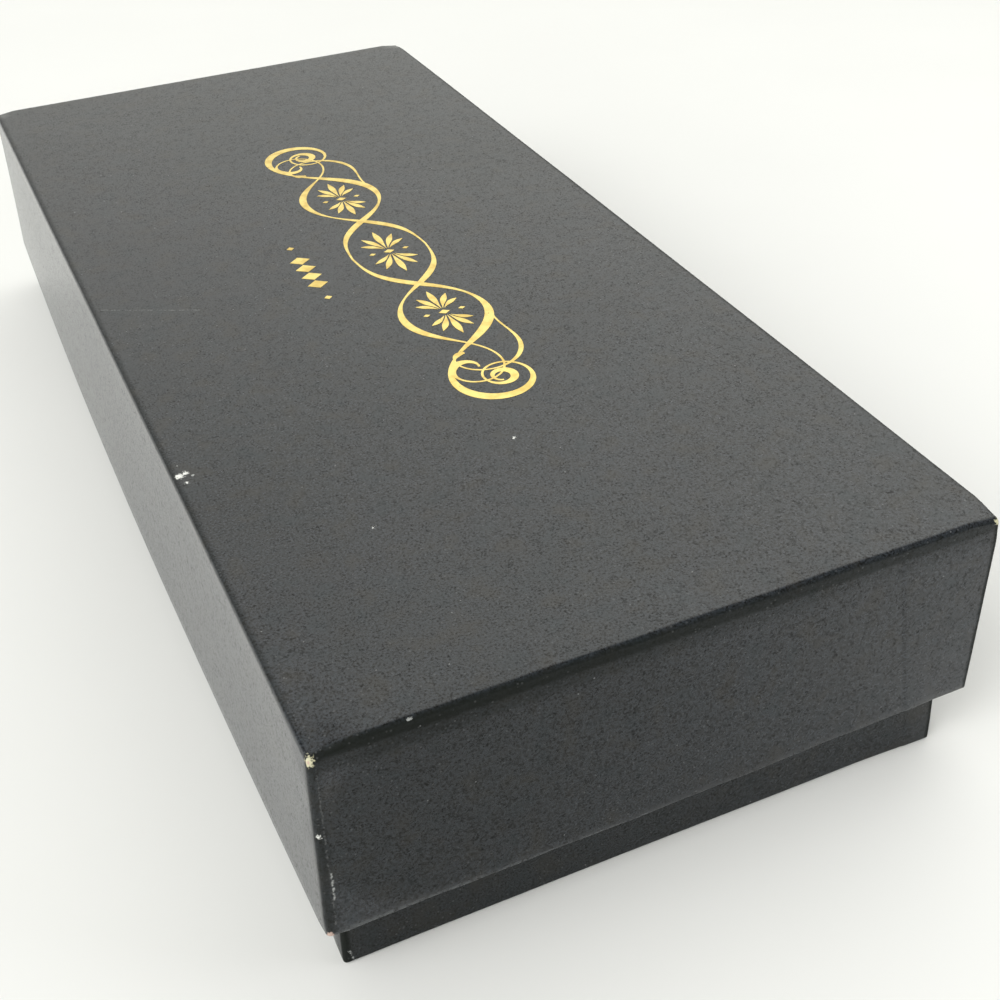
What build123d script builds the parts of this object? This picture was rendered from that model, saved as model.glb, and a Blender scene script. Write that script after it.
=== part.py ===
"""Lift-off-lid gift case for a calligraphy set: a paper-covered rigid box with its insert and writing tools.

The case lies flat. X runs across it, Y along it, away from the short end that faces the viewer, and Z
up. The origin is on the table, under the middle of the closed case. All sizes are in millimetres.
"""

from build123d import *
import math
import os

# ---- Driving dimensions of the case -------------------------------------------------------------
CASE_WIDTH = 110.0
CASE_LENGTH = 250.0
CASE_HEIGHT = 46.0
REVEAL = 10.0  # height of the base that shows under the lid's rim

BOARD = 1.0  # grey board of the walls, floor and top
PAPER = 0.15  # covering and lining paper
STAY = 0.1  # gummed tape round each corner of the board
TURN_IN = 15.0  # covering paper folded over a rim and down the inside
TURN_UNDER = 14.0  # covering paper folded under the base's floor
LINING_STEP = 3.0  # the lining stops this far short of a rim
FOLD = 1.0  # outer radius of the paper at an upright corner
EDGE_FOLD = 0.8  # outer radius of the paper along a flat edge
STAY_LEG = 18.0  # how far a corner stay reaches along each wall
STAY_TOP_STEP = 7.0  # the lid's stays stop this far under its top

# The lid sits pushed to one side, so the base stands back more on the right and at the far end.
BASE_PLAY_NEAR = 0.3  # left side and front
BASE_PLAY_RIGHT = 3.25
BASE_PLAY_BACK = 1.95
SHEET_INSET = 3.0  # the paste-down under the floor stops short of the edges

# ---- Driving dimensions of the insert -----------------------------------------------------------
INSERT_GAP = 0.3
FLOOR_PAD = 2.0
LOWER_FOAM = 17.05
UPPER_FOAM = 11.5
FLOCK = 0.6
REST_GAP = 0.3  # loose tools stand this far off what they lie on

PEN_X = -33.0
PEN_SLOT_WIDTH = 12.0
PEN_SLOT_ENDS = (-104.0, 97.0)
PEN_NOTCH_RADIUS = 13.0
PEN_NOTCH_Y = -8.0

TOOL_X = 14.0  # middle of the column that holds the bottle, the nibs and the rest
BOTTLE_CAVITY = (32.0, 78.0)
BOTTLE_CAVITY_Y = 57.0
BOTTLE_NOTCH_RADIUS = 11.0
BOTTLE_NOTCH_Y = 70.0
TRAY_POCKET_CLEARANCE = 0.3
TRAY_SIZE = (62.0, 46.0, 11.0)
TRAY_Y = -29.0
REST_SIZE = (42.0, 12.0, 10.0)
REST_Y = -84.0
REST_POCKET_CLEARANCE = 1.0
REST_NOTCH_RADIUS = 8.0

# ---- Driving dimensions of the tools ------------------------------------------------------------
PEN_TAIL_Y = -99.0
PEN_RADIUS = 5.0
HANDLE_LENGTH = 150.0
FERRULE_TAIL = 13.0
FERRULE_FRONT = 11.0
FERRULE_TAIL_RADIUS = 3.3

NIB_LENGTH = 30.0
NIB_RADIUS = 3.2
NIB_STEEL = 0.25
NIB_HALF_ARC = 75.0
NIB_SLIT = 0.15
NIB_HOLE_RADIUS = 0.6
FITTED_TIP = 0.8
SPARE_TIPS = (0.6, 1.1, 1.5, 1.9, 2.3)
NIB_PITCH = 11.4
GROOVE_RADIUS = 3.9
GROOVE_DEPTH = 3.6
GROOVE_LENGTH = 35.0

BOTTLE_RADIUS = 15.0
BOTTLE_BODY = 40.0
BOTTLE_SHOULDER = 6.0
BOTTLE_NECK = 12.0
BOTTLE_WALL = 2.0
BOTTLE_BOTTOM_Y = 94.0
NECK_RADIUS = 9.0
THREAD_RIDGE = 0.35
INK_LEVEL = 1.0  # above the bottle's axis, as it lies
INK_FILM = 0.02  # the ink stops this far from the glass

CAP_RADIUS = 11.5
CAP_LENGTH = 14.0
CAP_BORE = 9.6
CAP_TOP = 1.6
CAP_RIBS = 30
CAP_RIB_DEPTH = 0.4
CAP_RIB_WIDTH = 1.0
LINER = 1.0
LINER_RADIUS = 9.4

# ---- Places worked out from them ----------------------------------------------------------------
LID = (-CASE_WIDTH / 2, CASE_WIDTH / 2, -CASE_LENGTH / 2, CASE_LENGTH / 2)
WALL = PAPER + STAY + BOARD + PAPER + PAPER
LID_UNDERSIDE = CASE_HEIGHT - PAPER - BOARD - PAPER
BASE = (
    LID[0] + WALL + BASE_PLAY_NEAR,
    LID[1] - WALL - BASE_PLAY_RIGHT,
    LID[2] + WALL + BASE_PLAY_NEAR,
    LID[3] - WALL - BASE_PLAY_BACK,
)
FLOOR_TOP = PAPER + PAPER + BOARD + PAPER
LOWER_FOAM_Z = FLOOR_TOP + FLOOR_PAD
UPPER_FOAM_Z = LOWER_FOAM_Z + LOWER_FOAM
FLOCK_Z = UPPER_FOAM_Z + UPPER_FOAM
PEN_Z = UPPER_FOAM_Z + REST_GAP + PEN_RADIUS
BOTTLE_Z = LOWER_FOAM_Z + REST_GAP + BOTTLE_RADIUS
BOTTLE_LENGTH = BOTTLE_BODY + BOTTLE_SHOULDER + BOTTLE_NECK
TRAY_TOP = UPPER_FOAM_Z + TRAY_SIZE[2]
FERRULE_BORE = NIB_RADIUS + 0.1
CLIP_RADIUS = NIB_RADIUS - NIB_STEEL - 0.1


# ---- Helpers ------------------------------------------------------------------------------------
def inset(outline, distance):
    """The outline (x low, x high, y low, y high) moved inwards on all four sides."""
    x0, x1, y0, y1 = outline
    return (x0 + distance, x1 - distance, y0 + distance, y1 - distance)


def block(outline, z0, z1):
    """A plain block over an outline, between two heights."""
    x0, x1, y0, y1 = outline
    return Pos((x0 + x1) / 2, (y0 + y1) / 2, (z0 + z1) / 2) * Box(x1 - x0, y1 - y0, z1 - z0)


def soft_block(outline, z0, z1, corner, top=0.0, bottom=0.0):
    """A block with rounded upright corners and, where asked, rounded top or bottom edges."""
    x0, x1, y0, y1 = outline
    face = Pos((x0 + x1) / 2, (y0 + y1) / 2, z0) * RectangleRounded(x1 - x0, y1 - y0, corner)
    solid = extrude(face, z1 - z0)
    if top:
        solid = fillet(solid.edges().group_by(Axis.Z)[-1], top)
    if bottom:
        solid = fillet(solid.edges().group_by(Axis.Z)[0], bottom)
    return solid


def ring(outline, thickness, z0, z1, corner):
    """An upright sheet that follows an outline with rounded corners."""
    inner_corner = max(corner - thickness, 0.05)
    outer = soft_block(outline, z0, z1, corner)
    return outer - soft_block(inset(outline, thickness), z0 - 1, z1 + 1, inner_corner)


def at_corners(solid, outline, leg):
    """The parts of a solid that lie within a leg's length of the outline's four corners."""
    x0, x1, y0, y1 = outline
    reach = 2 * leg
    corners = [(x, y) for x in (x0, x1) for y in (y0, y1)]
    return Compound([solid & Pos(x, y, 0) * Box(reach, reach, 4 * CASE_HEIGHT) for x, y in corners])


def pocket(width, length, corner, x, y, z0, z1):
    """A die-cut opening with rounded corners, centred on (x, y)."""
    return extrude(Pos(x, y, z0) * RectangleRounded(width, length, corner), z1 - z0)


def disc(radius, x, y, z0, z1):
    """An upright round cut."""
    return Pos(x, y, (z0 + z1) / 2) * Cylinder(radius, z1 - z0)


def turned(points, spline=False):
    """A solid turned about Z from a profile of (radius, height) points that starts and ends on the axis."""
    vectors = [(radius, 0, height) for radius, height in points]
    if spline:
        outline = Spline(vectors[1:-1]) + Line(vectors[0], vectors[1]) + Line(vectors[-2], vectors[-1])
    else:
        outline = Polyline(*vectors)
    outline += Line(vectors[-1], vectors[0])
    return revolve(make_face(outline), Axis.Z)


def along_pen(solid):
    """Lays a solid that stands on Z along the pen, from the handle's tail towards the nib."""
    return Pos(PEN_X, PEN_TAIL_Y, PEN_Z) * Rot(-90, 0, 0) * solid


def along_bottle(solid):
    """Lays a solid that stands on Z along the bottle, from its bottom towards its cap."""
    return Pos(TOOL_X, BOTTLE_BOTTOM_Y, BOTTLE_Z) * Rot(90, 0, 0) * solid


# ---- The lid ------------------------------------------------------------------------------------
def lid_wrap():
    """One sheet of covering paper: top, four sides, and the strip turned in over the rim."""
    outside = soft_block(LID, REVEAL, CASE_HEIGHT, FOLD, top=EDGE_FOLD)
    under_paper = inset(LID, PAPER)
    low, high = REVEAL + PAPER, CASE_HEIGHT - PAPER
    hollow = soft_block(under_paper, low, high, FOLD - PAPER, top=EDGE_FOLD - PAPER)
    mouth_outline = inset(LID, WALL - PAPER)
    mouth = soft_block(mouth_outline, REVEAL - 1, REVEAL + 1, FOLD / 2)
    turn_in = ring(inset(mouth_outline, -PAPER), PAPER, REVEAL + PAPER / 2, REVEAL + TURN_IN, FOLD / 2)
    return outside - hollow - mouth + turn_in


def lid_board():
    """The lid's grey board, scored and folded up into a tray."""
    outline = inset(LID, PAPER + STAY)
    low, high = REVEAL + PAPER, CASE_HEIGHT - PAPER
    outside = soft_block(outline, low, high, FOLD - PAPER - STAY, top=EDGE_FOLD - PAPER)
    return outside - block(inset(outline, BOARD), REVEAL, high - BOARD)


def lid_corner_stays():
    """Gummed tape that holds the lid board's four corners."""
    outline = inset(LID, PAPER)
    tape = ring(outline, STAY, REVEAL + LINING_STEP, CASE_HEIGHT - STAY_TOP_STEP, FOLD - PAPER)
    return at_corners(tape, outline, STAY_LEG)


def lid_lining():
    """Paper lining of the lid's underside and inner walls."""
    outline = inset(LID, WALL - PAPER)
    sheet = soft_block(outline, REVEAL + LINING_STEP, LID_UNDERSIDE + PAPER, FOLD / 2)
    return sheet - soft_block(inset(outline, PAPER), REVEAL, LID_UNDERSIDE, FOLD / 4)


# ---- The base -----------------------------------------------------------------------------------
def base_board():
    """The base's grey board: a floor and four walls."""
    outline = inset(BASE, PAPER + STAY)
    low, high = 2 * PAPER, LID_UNDERSIDE - PAPER
    outside = soft_block(outline, low, high, FOLD - PAPER - STAY, bottom=EDGE_FOLD - PAPER)
    return outside - block(inset(outline, BOARD), low + BOARD, CASE_HEIGHT)


def base_corner_stays():
    """Gummed tape that holds the base board's four corners."""
    outline = inset(BASE, PAPER)
    tape = ring(outline, STAY, LINING_STEP, LID_UNDERSIDE - LINING_STEP, FOLD - PAPER)
    return at_corners(tape, outline, STAY_LEG)


def base_side_wrap():
    """Covering paper round the base's sides, turned in over the rim and under the floor."""
    outside = soft_block(BASE, PAPER, LID_UNDERSIDE, FOLD, bottom=EDGE_FOLD)
    under_paper = inset(BASE, PAPER)
    low, high = 2 * PAPER, LID_UNDERSIDE - PAPER
    hollow = soft_block(under_paper, low, high, FOLD - PAPER, bottom=EDGE_FOLD - PAPER)
    mouth_outline = inset(BASE, WALL - PAPER)
    mouth = soft_block(mouth_outline, LID_UNDERSIDE - 1, CASE_HEIGHT, FOLD / 2)
    window = block(inset(BASE, TURN_UNDER), 0, 1)
    rim_low = LID_UNDERSIDE - TURN_IN
    turn_in = ring(inset(mouth_outline, -PAPER), PAPER, rim_low, LID_UNDERSIDE - PAPER / 2, FOLD / 2)
    return outside - hollow - mouth - window + turn_in


def base_bottom_sheet():
    """The paste-down that covers the turned-under edges and meets the table."""
    return soft_block(inset(BASE, SHEET_INSET), 0, PAPER, FOLD)


def base_lining():
    """Paper lining of the base's floor and inner walls."""
    outline = inset(BASE, WALL - PAPER)
    sheet = soft_block(outline, FLOOR_TOP - PAPER, LID_UNDERSIDE - LINING_STEP, FOLD / 2)
    return sheet - soft_block(inset(outline, PAPER), FLOOR_TOP, CASE_HEIGHT, FOLD / 4)


# ---- The insert ---------------------------------------------------------------------------------
INSERT = inset(BASE, WALL + INSERT_GAP)


def bottle_cut(z0, z1):
    """The bottle's cavity, with a finger notch on each side."""
    cut = pocket(*BOTTLE_CAVITY, 3.0, TOOL_X, BOTTLE_CAVITY_Y, z0, z1)
    for side in (-1, 1):
        cut += disc(BOTTLE_NOTCH_RADIUS, TOOL_X + side * BOTTLE_CAVITY[0] / 2, BOTTLE_NOTCH_Y, z0, z1)
    return cut


def shallow_cuts(z0, z1):
    """The pen's slot, the nib tray's pocket and the pen rest's pocket, with their finger notches."""
    slot_length = PEN_SLOT_ENDS[1] - PEN_SLOT_ENDS[0]
    slot_y = sum(PEN_SLOT_ENDS) / 2
    pen = pocket(PEN_SLOT_WIDTH, slot_length, 5.5, PEN_X, slot_y, z0, z1)
    pen += disc(PEN_NOTCH_RADIUS, PEN_X, PEN_NOTCH_Y, z0, z1)
    tray_width, tray_length = (size + 2 * TRAY_POCKET_CLEARANCE for size in TRAY_SIZE[:2])
    tray = pocket(tray_width, tray_length, 2.0, TOOL_X, TRAY_Y, z0, z1)
    rest_width, rest_length = (size + 2 * REST_POCKET_CLEARANCE for size in REST_SIZE[:2])
    rest = pocket(rest_width, rest_length, 2.0, TOOL_X, REST_Y, z0, z1)
    for side in (-1, 1):
        rest += disc(REST_NOTCH_RADIUS, TOOL_X, REST_Y + side * rest_length / 2, z0, z1)
    return [pen, tray, rest]


def insert_floor_pad():
    """Thin uncut foam on the case's floor."""
    return soft_block(INSERT, FLOOR_TOP, LOWER_FOAM_Z, FOLD)


def insert_lower_foam():
    """Deep foam layer, cut through for the bottle alone."""
    low, high = LOWER_FOAM_Z, UPPER_FOAM_Z
    return soft_block(INSERT, low, high, FOLD) - bottle_cut(low - 1, high + 1)


def cut_layer(z0, z1):
    """A layer of the insert's top, cut through for every tool."""
    layer = soft_block(INSERT, z0, z1, FOLD) - bottle_cut(z0 - 1, z1 + 1)
    for cut in shallow_cuts(z0 - 1, z1 + 1):
        layer -= cut
    return layer


def insert_upper_foam():
    """Top foam layer."""
    return cut_layer(UPPER_FOAM_Z, FLOCK_Z)


def insert_flock_sheet():
    """Flocked cloth glued over the foam and cut with it."""
    return cut_layer(FLOCK_Z, FLOCK_Z + FLOCK)


# ---- Nibs ---------------------------------------------------------------------------------------
def nib(tip_width):
    """A steel nib: a bent strip, its axis on Z and its heel at 0, bulging towards -Y.

    Laid down by along_pen, -Y becomes up.
    """
    start = -90 - NIB_HALF_ARC
    outer = CenterArc((0, 0), NIB_RADIUS, start, 2 * NIB_HALF_ARC)
    inner = CenterArc((0, 0), NIB_RADIUS - NIB_STEEL, start, 2 * NIB_HALF_ARC)
    ends = Line(outer @ 0, inner @ 0) + Line(outer @ 1, inner @ 1)
    strip = extrude(make_face(outer + inner + ends), NIB_LENGTH)
    body, waist, tip = 12.0, 24.0, NIB_LENGTH
    half_body, half_waist, half_tip = NIB_RADIUS, 0.8 + tip_width / 2, tip_width / 2
    shoulder = ((half_body + half_waist) / 2, (body + waist) / 2 + 1)
    right = Spline([(half_body, body), shoulder, (half_waist, waist), (half_tip, tip)])
    left = mirror(right, Plane.YZ)
    sides = Line((half_body, 0), (half_body, body)) + Line((-half_body, 0), (-half_body, body))
    closing = Line((-half_body, 0), (half_body, 0)) + Line((-half_tip, tip), (half_tip, tip))
    plan = make_face(Plane.XY * (right + left + sides + closing))
    cutter = extrude(Plane.XZ.offset(-1) * plan, 2 * NIB_RADIUS, both=True)
    hole_height = 19.0
    hole = Pos(0, -NIB_RADIUS, hole_height) * Rot(90, 0, 0) * Cylinder(NIB_HOLE_RADIUS, 2)
    slit_length = NIB_LENGTH - hole_height + 1
    slit = Pos(0, -NIB_RADIUS, hole_height + slit_length / 2) * Box(NIB_SLIT, 2, slit_length)
    return (strip & cutter) - hole - slit


def spare_nib(number):
    """One of the spare nibs, lying bulge up in its groove of the tray."""
    x = TOOL_X + (number - (len(SPARE_TIPS) - 1) / 2) * NIB_PITCH
    half_width = NIB_RADIUS * math.sin(math.radians(NIB_HALF_ARC))
    groove_z = TRAY_TOP - GROOVE_DEPTH + GROOVE_RADIUS
    seat = groove_z - math.sqrt(GROOVE_RADIUS**2 - half_width**2)
    z = seat + REST_GAP - NIB_RADIUS * math.cos(math.radians(NIB_HALF_ARC))
    return Pos(x, TRAY_Y - NIB_LENGTH / 2, z) * Rot(-90, 0, 0) * nib(SPARE_TIPS[number])


def nib_tray():
    """Wooden tray with a round-bottomed groove for each spare nib."""
    width, length, height = TRAY_SIZE
    outline = (TOOL_X - width / 2, TOOL_X + width / 2, TRAY_Y - length / 2, TRAY_Y + length / 2)
    tray = soft_block(outline, UPPER_FOAM_Z, TRAY_TOP, 1.5, top=0.6)
    for number in range(len(SPARE_TIPS)):
        x = TOOL_X + (number - (len(SPARE_TIPS) - 1) / 2) * NIB_PITCH
        z = TRAY_TOP - GROOVE_DEPTH + GROOVE_RADIUS
        tray -= Pos(x, TRAY_Y, z) * Rot(90, 0, 0) * Cylinder(GROOVE_RADIUS, GROOVE_LENGTH)
    return tray


# ---- The pen ------------------------------------------------------------------------------------
def pen_handle():
    """Turned wooden handle, bored at its front for the ferrule."""
    end = HANDLE_LENGTH
    tail = [(0, 0), (1.3, 0), (2.3, 6), (3.0, 40), (3.9, 90)]
    grip = [(PEN_RADIUS, 116), (4.3, 130), (4.7, 145), (4.4, end), (0, end)]
    bore = Pos(0, 0, end - FERRULE_TAIL / 2) * Cylinder(FERRULE_TAIL_RADIUS, FERRULE_TAIL)
    return along_pen(turned(tail + grip, spline=True) - bore)


def pen_ferrule():
    """Brass ferrule: its tail in the handle, its front round the nib."""
    end = HANDLE_LENGTH
    outside = Pos(0, 0, end - FERRULE_TAIL / 2) * Cylinder(FERRULE_TAIL_RADIUS, FERRULE_TAIL)
    outside += Pos(0, 0, end + FERRULE_FRONT / 2) * Cylinder(FERRULE_BORE + 0.6, FERRULE_FRONT)
    tail_bore = Pos(0, 0, end - FERRULE_TAIL / 2) * Cylinder(CLIP_RADIUS + 0.05, FERRULE_TAIL + 2)
    front_bore = Pos(0, 0, end + FERRULE_FRONT / 2 + 1) * Cylinder(FERRULE_BORE, FERRULE_FRONT)
    return along_pen(outside - tail_bore - front_bore)


def pen_clip():
    """Sprung steel sleeve, open on one side, that holds the nib from inside."""
    length = FERRULE_TAIL + FERRULE_FRONT - 3
    low = HANDLE_LENGTH - FERRULE_TAIL + 1
    sleeve = Cylinder(CLIP_RADIUS, length) - Cylinder(CLIP_RADIUS - 0.4, length + 2)
    sleeve -= Pos(0, CLIP_RADIUS, 0) * Box(2 * CLIP_RADIUS, CLIP_RADIUS, length + 2)
    return along_pen(Pos(0, 0, low + length / 2) * sleeve)


def fitted_nib():
    """The nib that is in the pen."""
    heel = 1.5
    return along_pen(Pos(0, 0, HANDLE_LENGTH + heel) * nib(FITTED_TIP))


def pen_rest():
    """Brass bar with two rounded saddles for a pen."""
    width, length, height = REST_SIZE
    z0 = UPPER_FOAM_Z + REST_GAP
    outline = (TOOL_X - width / 2, TOOL_X + width / 2, REST_Y - length / 2, REST_Y + length / 2)
    bar = soft_block(outline, z0, z0 + height, 2.0, top=1.0, bottom=0.5)
    saddle_radius, saddle_depth, saddle_offset = 6.0, 3.4, 10.0
    for side in (-1, 1):
        z = z0 + height - saddle_depth + saddle_radius
        saddle = Rot(90, 0, 0) * Cylinder(saddle_radius, 2 * length)
        bar -= Pos(TOOL_X + side * saddle_offset, REST_Y, z) * saddle
    return bar


# ---- The ink bottle -----------------------------------------------------------------------------
def bottle_inside(film=0.0):
    """The space in the glass, shrunk by a film's thickness."""
    radius = BOTTLE_RADIUS - BOTTLE_WALL - film
    neck = NECK_RADIUS - BOTTLE_WALL - film
    floor = BOTTLE_WALL + 0.8 + film
    shoulder = BOTTLE_BODY - film / 2
    top = BOTTLE_LENGTH + (1 if film == 0 else -film)
    neck_start = BOTTLE_BODY + BOTTLE_SHOULDER + 0.6
    body = [(0, floor), (radius - 2, floor), (radius, floor + 2), (radius, shoulder)]
    return turned(body + [(neck, neck_start), (neck, top), (0, top)])


def ink_bottle_glass():
    """Round glass bottle, lying on its side, with a threaded neck."""
    body, neck_start, rim = BOTTLE_BODY, BOTTLE_BODY + BOTTLE_SHOULDER, BOTTLE_LENGTH
    radius = BOTTLE_RADIUS
    heel = [(0, 0), (radius - 1.5, 0), (radius, 1.5), (radius, body)]
    bottle = turned(heel + [(NECK_RADIUS, neck_start), (NECK_RADIUS, rim), (0, rim)])
    ridge = 0.8
    for height in (neck_start + 4.5, neck_start + 8.0):
        bottle += Pos(0, 0, height) * Cylinder(NECK_RADIUS + THREAD_RIDGE, ridge)
    return along_bottle(bottle - bottle_inside())


def ink_fill():
    """The ink, level in the lying bottle."""
    around = inset((TOOL_X, TOOL_X, BOTTLE_BOTTOM_Y, BOTTLE_BOTTOM_Y), -2 * BOTTLE_LENGTH)
    return along_bottle(bottle_inside(INK_FILM)) & block(around, 0, BOTTLE_Z + INK_LEVEL)


def ink_cap_liner():
    """Soft disc in the cap that seals on the bottle's rim."""
    return along_bottle(Pos(0, 0, BOTTLE_LENGTH + LINER / 2) * Cylinder(LINER_RADIUS, LINER))


def ink_cap():
    """Ribbed screw cap."""
    top = BOTTLE_LENGTH + LINER + CAP_TOP
    middle = top - CAP_LENGTH / 2
    cap = Pos(0, 0, middle) * Cylinder(CAP_RADIUS - CAP_RIB_DEPTH, CAP_LENGTH)
    rib_length = CAP_LENGTH - 2.5
    for number in range(CAP_RIBS):
        turn = Rot(0, 0, 360 * number / CAP_RIBS)
        rib = Box(2 * CAP_RIB_DEPTH, CAP_RIB_WIDTH, rib_length)
        cap += turn * Pos(CAP_RADIUS - CAP_RIB_DEPTH, 0, middle) * rib
    bore_top = BOTTLE_LENGTH + LINER
    cap -= Pos(0, 0, bore_top - CAP_LENGTH / 2) * Cylinder(CAP_BORE, CAP_LENGTH)
    return along_bottle(cap)


# ---- Writing the parts --------------------------------------------------------------------------
def all_parts():
    """Every sub-part by its node's name."""
    parts = {
        "lid_wrap": lid_wrap(),
        "lid_board": lid_board(),
        "lid_corner_stays": lid_corner_stays(),
        "lid_lining": lid_lining(),
        "base_board": base_board(),
        "base_corner_stays": base_corner_stays(),
        "base_side_wrap": base_side_wrap(),
        "base_bottom_sheet": base_bottom_sheet(),
        "base_lining": base_lining(),
        "insert_floor_pad": insert_floor_pad(),
        "insert_lower_foam": insert_lower_foam(),
        "insert_upper_foam": insert_upper_foam(),
        "insert_flock_sheet": insert_flock_sheet(),
        "nib_tray": nib_tray(),
        "pen_handle": pen_handle(),
        "pen_ferrule": pen_ferrule(),
        "pen_clip": pen_clip(),
        "fitted_nib": fitted_nib(),
        "pen_rest": pen_rest(),
        "ink_bottle_glass": ink_bottle_glass(),
        "ink_fill": ink_fill(),
        "ink_cap_liner": ink_cap_liner(),
        "ink_cap": ink_cap(),
    }
    for number in range(len(SPARE_TIPS)):
        parts[f"spare_nib_{number + 1}"] = spare_nib(number)
    return parts


os.makedirs("parts", exist_ok=True)
for name, solid in all_parts().items():
    export_step(solid, f"parts/{name}.step")
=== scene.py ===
"""Looks of a lift-off-lid gift case for a calligraphy set, with its insert and writing tools.

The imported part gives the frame: X across the case, Y along it, away from the short end that faces the
viewer, and Z up from the table. Sizes here are in millimetres and become metres as a mesh is made. The
paper-covered shells are rebuilt as sheets that bow, droop and wear as real ones do, the insert's layers
as die-cut sheets with rolled edges, and every other piece gets its finish.
"""

import logging
import math
from dataclasses import dataclass, field
from enum import Enum
from functools import reduce
from typing import Callable, Optional, Sequence, Union

import bmesh
import bpy
import numpy as np
from mathutils import Matrix, Vector
from mathutils.geometry import delaunay_2d_cdt


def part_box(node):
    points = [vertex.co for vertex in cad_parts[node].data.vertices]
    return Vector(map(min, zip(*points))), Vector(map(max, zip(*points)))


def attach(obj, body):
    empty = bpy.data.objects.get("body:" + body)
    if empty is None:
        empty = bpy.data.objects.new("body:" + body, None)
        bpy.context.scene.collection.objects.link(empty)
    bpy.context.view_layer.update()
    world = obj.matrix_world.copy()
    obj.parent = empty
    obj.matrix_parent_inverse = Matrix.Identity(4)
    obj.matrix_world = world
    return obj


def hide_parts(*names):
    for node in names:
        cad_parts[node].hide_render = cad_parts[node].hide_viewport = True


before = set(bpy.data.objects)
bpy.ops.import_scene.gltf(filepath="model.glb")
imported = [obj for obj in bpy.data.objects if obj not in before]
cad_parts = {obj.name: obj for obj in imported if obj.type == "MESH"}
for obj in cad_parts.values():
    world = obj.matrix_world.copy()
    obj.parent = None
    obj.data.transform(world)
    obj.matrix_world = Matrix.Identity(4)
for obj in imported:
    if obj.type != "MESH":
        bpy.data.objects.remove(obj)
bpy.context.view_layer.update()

LOG = logging.getLogger("calligraphy_set_case")
MM = 0.001
WELD = 1e-6
UNIFORM = (1.0, 1.0, 1.0)
NEAR_ENDS = (0.0, 0.004, 0.01, 0.02)

Array = np.ndarray
Colour = tuple[float, float, float]
Point = tuple[float, float, float]
Piece = bpy.types.Object
Socket = bpy.types.NodeSocket
Input = Union["Value", Socket, float, Sequence[float]]
Inputs = dict[Union[int, str], Input]


# ---- Shader maths -------------------------------------------------------------------------------
def operator(operation: str, turned: bool = False) -> Callable[["Value", Input], "Value"]:
    """An operator that adds a Math node of that operation on self and other, or turned round."""

    def apply(self: "Value", other: Input) -> "Value":
        """The node's result."""
        return self.through(operation, *((other, self) if turned else (self, other)))

    return apply


class Value:
    """A number that varies over a surface. Arithmetic on it adds Math nodes.

    least and greatest give the smaller and the larger of it and another.
    """

    def __init__(self, graph: "Graph", socket: Socket) -> None:
        """Wraps an output socket of a graph's node."""
        self.graph = graph
        self.socket = socket

    __add__, __radd__ = operator("ADD"), operator("ADD", turned=True)
    __sub__, __rsub__ = operator("SUBTRACT"), operator("SUBTRACT", turned=True)
    __mul__, __rmul__ = operator("MULTIPLY"), operator("MULTIPLY", turned=True)
    least, greatest = operator("MINIMUM"), operator("MAXIMUM")

    def through(self, operation: str, *operands: Input) -> "Value":
        """The result of a Math node of that operation."""
        made = self.graph.node("Math", {"operation": operation}, dict(enumerate(operands)))
        return Value(self.graph, made.outputs[0])

    def sine(self) -> "Value":
        """The sine of self, in radians."""
        return self.through("SINE", self)

    def between(self, low: float, high: float) -> "Value":
        """0 at low and 1 at high, eased at both ends. low may be the larger, which turns it round."""
        settings = {"interpolation_type": "SMOOTHSTEP"}
        made = self.graph.node("MapRange", settings, {0: self, 1: low, 2: high, 3: 0.0, 4: 1.0})
        return Value(self.graph, made.outputs[0])


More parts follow.
